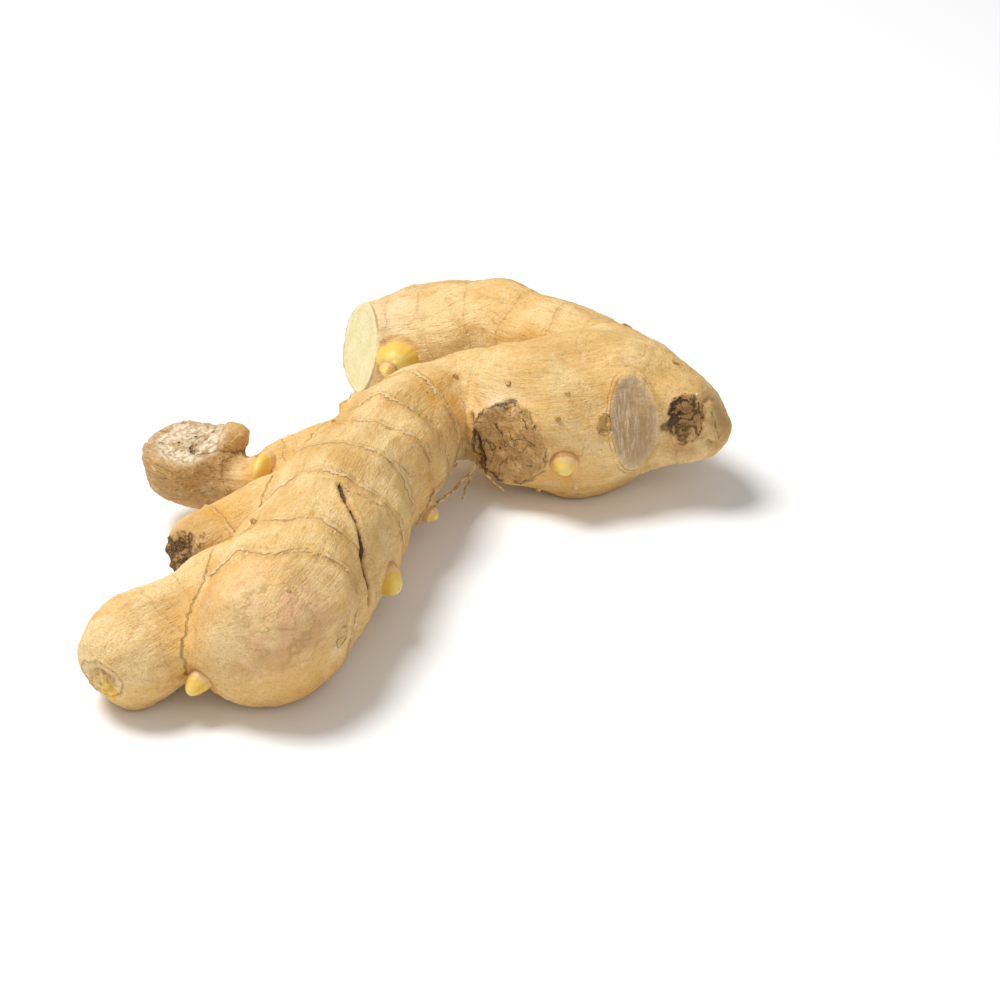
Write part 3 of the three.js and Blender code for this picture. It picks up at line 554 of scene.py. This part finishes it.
class Finish:
    """A material's node tree, with one short call for each kind of node it needs."""

    def __init__(self, name):
        self.material = bpy.data.materials.new(name)
        self.material.use_nodes = True
        self.tree = self.material.node_tree
        self.tree.nodes.clear()
        self.place = self.add("ShaderNodeTexCoord", out=3)

    def add(self, kind, inputs=None, out=0, **settings):
        return node(self.tree, kind, inputs, out, **settings)

    def layer(self, name, out=2):
        return self.add("ShaderNodeAttribute", out=out, attribute_name=name)

    def math(self, operation, first, second=0.0):
        return self.add("ShaderNodeMath", {0: first, 1: second}, operation=operation)

    def times(self, first, second):
        return self.math("MULTIPLY", first, second)

    def plus(self, first, second):
        return self.math("ADD", first, second)

    def gap(self, value, place):
        """How far a value is from a place, above or below it."""
        return self.math("ABSOLUTE", self.plus(value, -place))

    def most(self, first, *others):
        for other in others:
            first = self.math("MAXIMUM", first, other)
        return first

    def between(self, value, low, high, floor=0.0, top=1.0):
        """Rises smoothly from floor at low to top at high, and stays there."""
        return self.add("ShaderNodeMapRange", {0: value, 1: low, 2: high, 3: floor, 4: top},
                        interpolation_type="SMOOTHSTEP")

    def blend(self, under, over, share):
        pair = [linear(colour) if isinstance(colour, str) else colour for colour in (under, over)]
        return self.add("ShaderNodeMix", {0: share, 6: pair[0], 7: pair[1]}, out=2, data_type="RGBA")

    def tint(self, under, over, value, low, high, share):
        """Blends in a share of a colour, as a value goes from low to high."""
        return self.blend(under, over, self.times(self.between(value, low, high), share))

    def sized(self, width_mm, vector=None):
        """Inputs of a pattern as wide as a real size in mm: the object is in m, a vector in mm."""
        if vector is None:
            return {"Vector": self.place, "Scale": 1 / MM / width_mm}
        return {"Vector": vector, "Scale": 1 / width_mm}

    def cloud(self, width_mm, detail=4.0, rough=0.55, vector=None):
        """Cloudy noise."""
        inputs = {**self.sized(width_mm, vector), "Detail": detail, "Roughness": rough}
        return self.add("ShaderNodeTexNoise", inputs)

    def bent(self, vector, width_mm, detail):
        """A vector that cloudy noise pushes about."""
        push = self.add("ShaderNodeTexNoise", {**self.sized(width_mm), "Detail": detail}, out=1)
        return self.add("ShaderNodeVectorMath", {0: vector, 1: push}, operation="ADD")

    def cells(self, width_mm, vector=None, edges=True):
        """Cracked cells: distance to their edge or middle."""
        feature = "DISTANCE_TO_EDGE" if edges else "F1"
        return self.add("ShaderNodeTexVoronoi", self.sized(width_mm, vector), feature=feature)

    def ridges(self, width_mm, detail=4.0, vector=None):
        """Meandering lines, nought on a line."""
        return self.gap(self.cloud(width_mm, detail, 0.5, vector), 0.5)

    def relief(self, height, depth_mm, under=None, strength=1.0):
        inputs = {"Strength": strength, "Distance": depth_mm * MM, "Height": height}
        if under is not None:
            inputs["Normal"] = under
        return self.add("ShaderNodeBump", inputs)

    def close(self, inputs):
        shader = self.add("ShaderNodeBsdfPrincipled", inputs)
        self.add("ShaderNodeOutputMaterial", {"Surface": shader})
        return self.material


def skin_finish():
    """Dry ginger skin is thin papery cork: dull, so rough, with only a faint gloss."""
    f = Finish("dry ginger skin")
    times, plus, between, layer, blend, tint = f.times, f.plus, f.between, f.layer, f.blend, f.tint
    along_grain = layer("grain", out=1)
    mottle = f.cloud(4.5, 6)
    wobble = plus(mottle, -0.5)
    speckle = f.cloud(0.7, 3)
    fibres = f.cloud(1.0, 5, 0.65, along_grain)
    fine_fibres = f.cloud(0.4, 3, 0.6, along_grain)
    broad = f.cloud(9, 3, 0.5, along_grain)
    grains = f.cloud(0.45, 2)

    # tan skin, paler and darker in patches, with fibres running along the limb
    colour = blend(SKIN_MIDDLE, SKIN_LIGHT, between(f.cloud(16), 0.42, 0.6))
    for over, value, low, high, share in (
        (SKIN_DARK, broad, 0.52, 0.7, 0.4), (SKIN_DARK, mottle, 0.52, 0.72, 0.45),
        (SKIN_DARK, fibres, 0.52, 0.7, 0.5), (DUST_PALE, fibres, 0.46, 0.3, 0.45),
        (DUST_PALE, speckle, 0.58, 0.7, 0.35), (SHEATH_BROWN, speckle, 0.38, 0.28, 0.35),
        (SKIN_DARK, grains, 0.52, 0.66, 0.45),
    ):
        colour = tint(colour, over, value, low, high, share)
    dashes = times(between(fine_fibres, 0.58, 0.68), between(f.cloud(11), 0.46, 0.6, 0.1, 0.8))
    colour = blend(colour, SHEATH_BROWN, times(dashes, 0.45))
    colour = blend(colour, DUST_PALE, times(layer("pale"), between(mottle, 0.35, 0.6, 0.3, 0.75)))
    hair_cells = f.cells(3.4, f.bent(along_grain, 3, 3.0))
    hairs = times(between(hair_cells, 0.03, 0.008), between(f.cloud(5), 0.58, 0.68))
    colour = blend(colour, SHEATH_BROWN, times(hairs, 0.25))
    colour = blend(colour, ROSE, times(layer("rosy"), between(mottle, 0.4, 0.6, 0.15, 0.75)))
    peel = times(between(f.ridges(6.0, 3), 0.05, 0.0), between(layer("rosy"), 0.25, 0.7, 0.1, 0.9))
    colour = blend(colour, SHEATH_BROWN, times(peel, 0.35))

    # golden tone in the folds, in some patches and round the buds: in the folds and the low patches it is
    # painted warm shade, round the buds and in the other patches the skin's own gold
    fold_shade_share = times(layer("fold"), between(mottle, 0.35, 0.6, 0.1, 0.5))
    gold_share = times(layer("gold"), between(mottle, 0.38, 0.58, 0.2, 0.85))
    collar = times(between(layer("bud_gap"), 2.2, 0.2), between(mottle, 0.3, 0.6, 0.1, 0.5))
    colour = blend(colour, GOLD, times(f.most(fold_shade_share, gold_share, collar), 0.8))

    fresh = between(plus(layer("fresh"), times(wobble, 1.5)), 0.35, 0.7)
    colour = blend(colour, FRESH_YELLOW, times(fresh, 0.8))

    # sheath edges: painted shade in a band round each ring, and a thin broken brown line under a paler torn
    # edge, partly the sheath's own brown and partly painted shadow where the edge drops
    ring = f.add("ShaderNodeSeparateXYZ", {0: layer("ring_turn", out=1)})
    ring_sure = times(between(ring.node.outputs[1], 0.0, 0.5), ring.node.outputs[2])
    ring_at = plus(times(ring, RING_REACH / math.pi), times(plus(speckle, -0.5), 0.5))
    broken = times(between(f.cloud(5, 3, 0.5), 0.42, 0.58), ring_sure)
    # painted shade: darker skin in the groove round each ring
    colour = tint(colour, SKIN_DARK, f.gap(ring_at, 0.0), 1.8, 0.2, times(ring_sure, 0.3))
    colour = tint(colour, DUST_PALE, f.gap(ring_at, 0.35), 0.5, 0.1, times(broken, 0.4))
    # the thin line: sheath brown with painted shadow at the foot of the torn edge
    colour = tint(colour, SHEATH_BROWN, f.gap(ring_at, -0.15), 0.26, 0.04, times(broken, 0.55))

    # weathered skin: greyer and more fibrous
    worn = times(layer("weathered"), between(fibres, 0.3, 0.55, 0.45, 1.0))
    colour = blend(colour, WEATHERED, times(worn, 0.75))
    colour = tint(colour, CORK_DARK, fine_fibres, 0.46, 0.34, times(layer("weathered"), 0.55))

    # corky scars: tan cork split by dark fissures, inside a ragged cracked rim
    scar_place = layer("scar_place", out=1)
    bent_place = f.bent(scar_place, 2.5, 4.0)
    cork_noise = f.cloud(2.2, 6, 0.65)
    edge = times(plus(cork_noise, -0.5), 0.4)
    scar_right = f.add("ShaderNodeSeparateXYZ", {0: scar_place})
    fissures = between(f.ridges(5.5, 5, bent_place), 0.013, 0.004)
    fissures = times(fissures, between(f.cloud(4.5), 0.42, 0.52))
    cork_colour = blend(CORK_TAN, CORK_PALE, between(cork_noise, 0.48, 0.68))
    cork_colour = tint(cork_colour, PIT_BROWN, speckle, 0.5, 0.34, 0.5)
    cork_colour = tint(cork_colour, PIT_BROWN, grains, 0.48, 0.36, 0.45)
    cork_colour = blend(cork_colour, CORK_DARK, times(fissures, 0.9))
    rim_broken = times(between(f.cloud(4, 4), 0.4, 0.52), between(scar_right, 5.0, -3.0, 0.35, 1.0))
    rough_share, rim_share = 0.0, 0.0
    for name, strength in (("cork", 0.9), ("plain_scar", 0.85), ("small_scar", 0.3)):
        reach = plus(layer(name), times(edge, 0.8))
        inside = between(reach, 1.03, 0.9)
        rim = times(times(between(reach, 0.96, 0.99), between(reach, 1.035, 1.01)), rim_broken)
        colour = blend(colour, cork_colour, times(inside, strength))
        colour = blend(colour, CORK_DARK, times(rim, 0.9 * strength))
        rough_share = f.most(rough_share, times(inside, strength))
        rim_share = f.most(rim_share, rim)
    # painted shade: the dents are coloured nearly black, as the shade inside a deeper hole
    dent = plus(layer("dent"), times(wobble, 0.8))
    colour = tint(colour, CORK_DARK, dent, 0.35, 0.75, 0.85)

    # the toe's end: ragged rings of old sheath, one inside another
    toe_reach = plus(layer("toe_end"), times(edge, 0.6))
    toe_rings = f.math("SINE", plus(times(toe_reach, 16.0), times(wobble, 18.0)))
    in_toe = times(between(toe_reach, 1.15, 0.95), between(cork_noise, 0.35, 0.55, 0.3, 1.0))
    colour = tint(colour, DUST_PALE, toe_rings, -0.2, -0.8, times(in_toe, 0.5))
    colour = tint(colour, SHEATH_BROWN, toe_rings, 0.55, 0.9, times(in_toe, 0.6))

    # the grey scar: long pale fibres inside two thin brown rims
    drawn_out = f.add("ShaderNodeMapping", {"Vector": bent_place, "Scale": (2.4, 0.13, 1.0)})
    streaks = f.cloud(1.0, 4.0, 0.6, drawn_out)
    grey_reach = plus(layer("grey"), times(edge, 0.35))
    fibre_white = times(between(streaks, 0.5, 0.64), between(scar_right, 4.0, -4.0, 0.35, 1.0))
    grey_colour = tint(SCAR_GREY, HEALED_BROWN, streaks, 0.5, 0.36, 0.45)
    grey_colour = blend(grey_colour, SCAR_WHITE, times(fibre_white, 0.65))
    grey_colour = tint(grey_colour, SCAR_WHITE, grey_reach, 0.7, 1.0, 0.35)
    colour = tint(colour, grey_colour, grey_reach, 1.04, 0.86, 0.8)
    for ring_place in (1.02, 1.14):
        grey_rim = between(f.gap(grey_reach, ring_place), 0.03, 0.005)
        colour = blend(colour, SHEATH_BROWN, times(times(grey_rim, rim_broken), 0.6))

    # crumbled scars: brown cork with dark crevices and holes, more of them on the left
    crevices = between(f.ridges(2.6, 5, bent_place), 0.045, 0.015)
    holes = between(plus(cork_noise, times(scar_right, 0.02)), 0.46, 0.38)
    pit_dark = 0.0
    for name, strength in (("pit", 0.92), ("stub_end", 0.5)):
        reach = plus(layer(name), times(edge, 2.2))
        colour = blend(colour, cork_colour, between(reach, 1.3, 0.95))
        colour = tint(colour, PIT_BROWN, reach, 1.15, 0.8, 0.6 * strength)
        dark = times(between(reach, 1.12, 0.9), f.most(crevices, holes))
        colour = blend(colour, PIT_BLACK, times(dark, strength))
        pit_dark = f.most(pit_dark, dark)

    # the knob's healed cut: whitish, fibrous and open-pored
    knob_reach = plus(layer("knob_face"), times(edge, 0.9))
    pores = between(f.cells(0.9, scar_place, edges=False), 0.4, 0.22)
    pores = times(times(pores, between(f.cloud(2.5), 0.46, 0.56)), between(knob_reach, 0.62, 0.4))
    folds = f.math("SINE", plus(times(knob_reach, 26.0), times(wobble, 26.0)))
    healed = blend(HEALED_PALE, SCAR_WHITE, between(speckle, 0.45, 0.6))
    healed = tint(healed, HEALED_BROWN, cork_noise, 0.54, 0.4, 0.75)
    healed = tint(healed, HEALED_BROWN, folds, 0.2, 0.9, between(knob_reach, 0.2, 0.9, 0.15, 0.6))
    healed = tint(healed, HEALED_BROWN, knob_reach, 0.5, 0.3, 0.35)
    healed = blend(healed, PIT_BLACK, times(pores, 0.85))
    colour = tint(colour, healed, knob_reach, 1.15, 0.8, 0.95)
    colour = blend(colour, WEATHERED, times(layer("dry"), between(mottle, 0.35, 0.6, 0.35, 0.85)))

    # cracks: a brown seam, darkest in its middle
    crack = plus(layer("crack_gap"), times(wobble, 1.1))
    thin_crack = plus(layer("thin_gap"), times(wobble, 0.5))
    crack_line = f.most(between(crack, 0.42, 0.18), times(between(thin_crack, 0.26, 0.08), 0.5))
    colour = tint(colour, SHEATH_BROWN, crack, 1.3, 0.35, 0.5)
    colour = blend(colour, CORK_DARK, times(crack_line, 0.9))

    # the knife cut: wet flesh with a ring of denser tissue, inside a thin skin
    cut = between(layer("beyond_cut"), -0.5, -0.25)
    depth = plus(layer("flesh_depth"), times(wobble, 0.4))
    flesh = blend(FLESH_PALE, FLESH_GREEN, between(f.cloud(3.5, 5), 0.42, 0.62))
    flesh = tint(flesh, FLESH_YELLOW, f.cells(1.2, edges=False), 0.3, 0.12, 0.4)
    flesh = tint(flesh, FLESH_YELLOW, f.gap(depth, 2.4), 0.5, 0.1, 0.3)
    flesh = tint(flesh, SHEATH_BROWN, depth, 0.55, 0.25, 0.6)
    colour = blend(colour, flesh, cut)

    # relief too fine for the mesh
    normal = f.relief(fibres, 0.4, strength=0.8)
    normal = f.relief(fine_fibres, 0.25, normal, 0.9)
    normal = f.relief(grains, 0.16, normal, 0.8)
    normal = f.relief(times(between(ring_at, -0.12, 0.1), ring_sure), 0.25, normal, 0.8)
    normal = f.relief(times(cork_noise, rough_share), 0.9, normal)
    marks = f.most(times(fissures, rough_share), times(rim_share, 0.7), crack_line, pit_dark,
                   times(pores, 0.6))
    normal = f.relief(times(marks, -1.0), 0.6, normal)
    roughness = f.add("ShaderNodeMix", {0: cut, 2: between(mottle, 0.3, 0.7, 0.6, 0.8), 3: 0.3})
    return f.close({
        "Base Color": colour, "Roughness": roughness, "IOR": SKIN_IOR, "Normal": normal,
        "Subsurface Weight": 0.08, "Subsurface Radius": (1.0, 0.5, 0.2), "Subsurface Scale": 1.5 * MM,
    })


skin.data.materials.append(skin_finish())
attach(skin, "root")
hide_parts("ginger_rhizome")

# Buds: young shoots, each a blunt cone of tight overlapping scales. The lowest scales are
# brown and papery, the bare tip is waxy and yellow.
BUD_SIDES, BUD_ROWS, BUD_SINK = 64, 48, 2.2
BUD_BROWN, BUD_PINK, BUD_YELLOW, BUD_TIP = "#CF9E62", "#E6BF8A", "#E8C258", "#F5DE8A"
SCALE_FALL = 0.014
# rows of scales: how far past the cover each ends, as a share of the height, and its thickness
SCALE_ROWS = ((0.0, 0.2), (0.22, 0.13), (0.42, 0.09))


def ring_faces(rows, sides):
    """Four-sided faces between rings of points that follow one another."""
    return [(row + i, row + (i + 1) % sides, row + sides + (i + 1) % sides, row + sides + i)
            for row in range(0, rows * sides, sides) for i in range(sides)]


def bud_piece(name, across, tall, height, low_cover, high_cover, foot, direction):
    out = unit(direction)
    side = unit(np.cross((0, 0, 1), out))
    rise = np.cross(out, side)
    share, angle = np.meshgrid(np.linspace(0, 1, BUD_ROWS + 1), np.arange(BUD_SIDES) * 2 * np.pi / BUD_SIDES,
                               indexing="ij")
    share, angle = share.ravel(), angle.ravel()
    ring_points = np.stack([np.cos(angle) * 1.7, np.sin(angle) * 1.7, np.full(angle.shape, 3.1 * across)], 1)
    ragged = noise_at(ring_points)
    level = -BUD_SINK + (height + BUD_SINK) * share
    shown = np.maximum(level / height, 0)
    wide = np.sqrt(np.maximum(1 - share ** 2.4, 0)) * (1 - 0.12 * share) * (1 + 0.03 * ragged)
    cover = low_cover + (high_cover - low_cover) * (0.5 + 0.5 * np.sin(angle))
    push = np.zeros(len(share))
    bare = np.ones(len(share))
    for lift, thick in SCALE_ROWS:
        top = cover + lift + 0.05 * ragged + 0.06 * np.cos(angle * 2 + 20 * lift)
        covered = 1 / (1 + np.exp((shown - top) / SCALE_FALL))
        push += thick * covered
        bare -= covered / len(SCALE_ROWS)
    ribs = 0.04 * np.cos(angle * 14 + 4 * ragged)
    push = (push + ribs) * np.minimum(1, 3 * (1 - share))
    places = foot + level[:, None] * out
    places = places + ((across * wide + push) * np.cos(angle))[:, None] * side
    places = places + ((tall * wide + push) * np.sin(angle))[:, None] * rise
    tip = len(places)
    places = np.vstack([places, foot + out * height, foot - out * BUD_SINK])
    faces = ring_faces(BUD_ROWS, BUD_SIDES)
    for i in range(BUD_SIDES):
        after = (i + 1) % BUD_SIDES
        faces.append((BUD_ROWS * BUD_SIDES + i, BUD_ROWS * BUD_SIDES + after, tip))
        faces.append((after, i, tip + 1))
    piece = mesh_object("bud_" + name, places, faces)
    keep_on_points(piece, bare=np.append(bare, (1, 0)), shown=np.append(shown, (1, 0)),
                   stripe=np.append(0.6 * np.cos(angle * 9 + 3 * ragged) + 0.5 * ragged, (0, 0)))
    return piece


def bud_finish():
    """A bud's skin is moist and waxy, so smoother than old skin, and lets light in."""
    f = Finish("waxy bud skin")
    mottle = f.cloud(1.4, 5)
    bare = f.plus(f.layer("bare"), f.times(f.plus(mottle, -0.5), 0.5))
    colour = f.blend(BUD_BROWN, BUD_PINK, f.between(bare, 0.05, 0.3))
    colour = f.blend(colour, BUD_YELLOW, f.between(bare, 0.35, 0.72))
    colour = f.tint(colour, BUD_TIP, f.layer("shown"), 0.6, 1.0, 0.6)
    colour = f.tint(colour, BUD_BROWN, f.cloud(0.6, 3), 0.6, 0.74, 0.35)
    colour = f.tint(colour, BUD_BROWN, f.layer("stripe"), 0.3, 1.1, 0.2)
    normal = f.relief(mottle, 0.15, strength=0.5)
    return f.close({
        "Base Color": colour, "Roughness": 0.45, "IOR": SKIN_IOR, "Normal": normal,
        "Subsurface Weight": 0.2, "Subsurface Radius": (1.0, 0.7, 0.2), "Subsurface Scale": 1.5 * MM,
    })


bud_material = bud_finish()
bud_list = [(name, shape, bud_feet[name], direction) for name, (_, direction, *shape) in BUDS.items()]
shoot_offset, shoot_direction, *shoot_shape = SHOOT
bud_list.append(("shoot", shoot_shape, bud_feet["back_finger"] + shoot_offset, shoot_direction))
for name, shape, foot, direction in bud_list:
    bud = bud_piece(name, *shape, foot, direction)
    bud.data.materials.append(bud_material)
    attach(bud, "root")

# Dried roots and torn skin: short stubs of roots that broke off, a few thin roots that are
# left, and small flakes of sheath that curl up along the rings.

# place on the skin and radius
ROOT_STUBS = (
    (6, 20, 28, 0.8), (17.5, 12.5, 29.5, 0.9), (30, 10, 28.5, 0.9), (28, 6, 24, 0.8), (39.5, 6.5, 22.5, 0.8),
    (53.8, 20, 30.5, 1.1), (-26, -69, 26, 0.8), (-33, -44, 27, 0.8), (-50, -52, 18, 0.8), (-20, -2, 29, 0.8),
    (3, 12, 12, 1), (11, 12, 8, 1), (-10, -33, 6, 1), (-24, -18, 3, 1), (36, 36, 5, 1), (24, 12, 3, 1),
    (5, 58, 8, 0.9), (24, 66, 20, 0.9),
)
# the points that each thin root runs through, and its radius
THIN_ROOTS = (
    ((11.5, 14, 10.5), (9.5, 9.5, 9.4), (6.5, 2.5, 9.6), (4.2, -4.5, 11), (2.4, -9, 12.2),
     (0.2, -11.5, 13), 0.34),
    ((10.9, 14, 10), (13, 10, 8), (14.8, 8.8, 6.4), (16.5, 9.4, 4.6), 0.26),
    ((11.2, 15, 9.6), (9, 9, 7.6), (7.5, 5.5, 4.6), 0.2),
    ((24.6, 9.4, 27.4), (24.2, 6.9, 26), (22.8, 4.6, 23.4), (20.8, 4.6, 21.4), 0.24),
)
ROOT_BROWN, ROOT_PALE = "#AE8448", "#DDBB82"
ROOT_SIDES = 10


def root_finish():
    """Dried root fibre: woody and dull, so quite rough."""
    f = Finish("dried root fibre")
    colour = f.blend(ROOT_BROWN, ROOT_PALE, f.between(f.cloud(1.5, 4), 0.42, 0.6))
    return f.close({"Base Color": colour, "Roughness": 0.75, "IOR": SKIN_IOR,
                    "Normal": f.relief(f.cloud(0.5, 4), 0.1)})


def flake_finish():
    """Torn sheath: paper-thin dry cork, paler than the skin and as dull."""
    f = Finish("torn dry sheath")
    colour = f.blend(SKIN_MIDDLE, DUST_PALE, f.between(f.cloud(2.0, 4), 0.42, 0.6))
    return f.close({"Base Color": colour, "Roughness": 0.75, "IOR": SKIN_IOR})


def tree_of(name, sockets):
    """A geometry tree with named inputs. Gives back the tree and what comes in, by name."""
    tree = bpy.data.node_groups.new(name, "GeometryNodeTree")
    tree.interface.new_socket("Geometry", in_out="OUTPUT", socket_type="NodeSocketGeometry")
    for socket, kind in {"Geometry": "Geometry", **sockets}.items():
        tree.interface.new_socket(socket, in_out="INPUT", socket_type="NodeSocket" + kind)
    return tree, tree.nodes.new("NodeGroupInput").outputs


def end_tree(tree, given, instances):
    """Ends a tree: instances made real and given the material that comes in by name."""
    real = node(tree, "GeometryNodeRealizeInstances", {0: instances})
    dressed = node(tree, "GeometryNodeSetMaterial", {0: real, "Material": given["Material"]})
    node(tree, "NodeGroupOutput", {0: dressed})


def grown(name, base, tree, values):
    """Runs a geometry tree on an object and keeps the result as a plain mesh object."""
    modifier = base.modifiers.new(name, "NODES")
    modifier.node_group = tree
    for socket in tree.interface.items_tree:
        if socket.in_out == "INPUT" and socket.name in values:
            modifier[socket.identifier] = values[socket.name]
    evaluated = base.evaluated_get(bpy.context.evaluated_depsgraph_get())
    mesh = bpy.data.meshes.new_from_object(evaluated)
    mesh.name = name
    base.modifiers.remove(modifier)
    return new_object(name, mesh)


def stub_tree():
    tree, given = tree_of("root stubs", {"Depth": "Float", "Sink": "Float", "Material": "Material"})
    size = node(tree, "GeometryNodeInputNamedAttribute", {"Name": "size"}, data_type="FLOAT")
    out = node(tree, "GeometryNodeInputNamedAttribute", {"Name": "out"}, data_type="FLOAT_VECTOR")
    cone = node(tree, "GeometryNodeMeshCone", {
        "Vertices": ROOT_SIDES, "Side Segments": 2, "Fill Segments": 2, "Radius Top": 0.55,
        "Radius Bottom": 1.1, "Depth": given["Depth"]})
    low = node(tree, "ShaderNodeCombineXYZ", {2: given["Sink"]})
    sunk = node(tree, "GeometryNodeTransform", {0: cone, "Translation": low})
    turned = node(tree, "FunctionNodeAlignRotationToVector", {"Vector": out}, axis="Z")
    wide = node(tree, "ShaderNodeVectorMath", {0: (MM, MM, MM), "Scale": size}, operation="SCALE")
    placed = node(tree, "GeometryNodeInstanceOnPoints", {
        "Points": given["Geometry"], "Instance": sunk, "Rotation": turned, "Scale": wide})
    end_tree(tree, given, placed)
    return tree


def flake_tree():
    tree, given = tree_of("sheath flakes", {
        "Most per square metre": "Float", "Seed": "Int", "Length": "Float", "Width": "Float",
        "Thickness": "Float", "Tilt": "Float", "Material": "Material"})
    flaking = node(tree, "GeometryNodeInputNamedAttribute", {"Name": "flaking"}, data_type="FLOAT")
    density = node(tree, "ShaderNodeMath", {0: flaking, 1: given["Most per square metre"]},
                   operation="MULTIPLY")
    spread = node(tree, "GeometryNodeDistributePointsOnFaces", {
        0: given["Geometry"], "Density": density, "Seed": given["Seed"]}).node
    turn = node(tree, "FunctionNodeRandomValue", {2: 0.0, 3: 2 * math.pi, "Seed": given["Seed"]},
                out=1, data_type="FLOAT")
    lean = node(tree, "ShaderNodeCombineXYZ", {0: given["Tilt"], 2: turn})
    leaning = node(tree, "FunctionNodeEulerToRotation", {0: lean})
    rotation = node(tree, "FunctionNodeRotateRotation", {0: spread.outputs["Rotation"], 1: leaning},
                    rotation_space="LOCAL")
    scale = node(tree, "FunctionNodeRandomValue", {2: 0.4, 3: 1.2, "Seed": given["Seed"]},
                 out=1, data_type="FLOAT")
    flake = node(tree, "GeometryNodeMeshCube", {"Size": node(tree, "ShaderNodeCombineXYZ", {
        0: given["Length"], 1: given["Width"], 2: given["Thickness"]})})
    placed = node(tree, "GeometryNodeInstanceOnPoints", {
        "Points": spread.outputs["Points"], "Instance": flake, "Rotation": rotation, "Scale": scale})
    end_tree(tree, given, placed)
    return tree


def thin_root(name, knots, radius):
    """A round thread through some points, thinner at its ends."""
    path = smooth_path([(*knot, 1) for knot in knots])[:, :3]
    path = path + 0.25 * np.stack([noise_at(path / 1.5 + shift, 1) for shift in (0, 7, 19)], 1)
    heading = unit(np.gradient(path, axis=0))
    side = unit(np.cross(heading, (0.1, 0.2, 1)))
    other = np.cross(heading, side)
    width = radius * (0.5 + 0.5 * np.sin(np.linspace(0.5, 2.4, len(path))))
    angles = np.arange(ROOT_SIDES) * 2 * np.pi / ROOT_SIDES
    rings = [place + w * (np.outer(np.cos(angles), a) + np.outer(np.sin(angles), b))
             for place, w, a, b in zip(path, width, side, other)]
    faces = [tuple(range(ROOT_SIDES))[::-1]]
    faces += ring_faces(len(path) - 1, ROOT_SIDES)
    faces.append(tuple((len(path) - 1) * ROOT_SIDES + i for i in range(ROOT_SIDES)))
    return mesh_object(name, np.vstack(rings), faces)


root_material = root_finish()
stub_places = settle([stub[:3] for stub in ROOT_STUBS])
stub_points = mesh_object("stub_points", stub_places, [])
keep_on_points(stub_points, out=slope(stub_places), size=[stub[3] for stub in ROOT_STUBS])
stubs = grown("root_stubs", stub_points, stub_tree(), {
    "Depth": 1.7, "Sink": -1.1, "Material": root_material})
flakes = grown("sheath_flakes", skin, flake_tree(), {
    "Most per square metre": 250000.0, "Seed": 4, "Length": 0.9 * MM, "Width": 0.35 * MM,
    "Thickness": 0.07 * MM, "Tilt": 0.25, "Material": flake_finish()})
bpy.data.objects.remove(stub_points)
dried = [(stubs, "root_fibre"), (flakes, "ginger_skin")]
for i, (*knots, radius) in enumerate(THIN_ROOTS):
    root = thin_root(f"thin_root_{i}", knots, radius)
    root.data.materials.append(root_material)
    dried.append((root, "root_fibre"))
for piece, slot in dried:
    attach(piece, "root")

# Studio: a plain pale floor, a wide soft light above and behind on the left, and a camera
# that looks down at the hand at the photograph's angle.
CAMERA_TARGET = Vector((15.7, -17.4, 17.6)) * MM
CAMERA_DISTANCE = 616 * MM
CAMERA_DOWN = math.radians(30)
CAMERA_LENS, CAMERA_FILM = 105.84, 36
FLOOR_SIZE, FLOOR_Z = 3000, -0.05
FLOOR_WHITE = "#FCFCFC"
WORLD_LIGHT = 0.34

camera_data = bpy.data.cameras.new("camera")
camera_data.lens = CAMERA_LENS
camera_data.sensor_width = CAMERA_FILM
camera = new_object("camera", camera_data)
camera.rotation_euler = (math.pi / 2 - CAMERA_DOWN, 0, 0)
camera.location = CAMERA_TARGET + CAMERA_DISTANCE * Vector((0, -math.cos(CAMERA_DOWN), math.sin(CAMERA_DOWN)))
bpy.context.scene.camera = camera

floor_corners = [(x * FLOOR_SIZE, y * FLOOR_SIZE, FLOOR_Z) for x, y in ((-1, -1), (1, -1), (1, 1), (-1, 1))]
floor = mesh_object("floor", floor_corners, [(0, 1, 2, 3)])
# matt board scatters all light, so it is fully rough
board = Finish("matt white board")
floor.data.materials.append(board.close({"Base Color": linear(FLOOR_WHITE), "Roughness": 1.0}))


def soft_light(name, place, size, power):
    data = bpy.data.lights.new(name, "AREA")
    data.shape = "DISK"
    data.size = size
    data.energy = power
    lamp = new_object(name, data)
    lamp.location = place
    lamp.rotation_euler = (-Vector(place)).to_track_quat("-Z", "Y").to_euler()


soft_light("key", (-0.42, 0.1, 0.9), 0.5, 9.5)
soft_light("fill", (0.3, -0.9, 0.7), 0.8, 2)

world = bpy.data.worlds.new("studio")
world.use_nodes = True
background = world.node_tree.nodes["Background"].inputs
background["Color"].default_value = (1, 1, 1, 1)
background["Strength"].default_value = WORLD_LIGHT
bpy.context.scene.world = world
bpy.context.scene.view_settings.view_transform = "Standard"
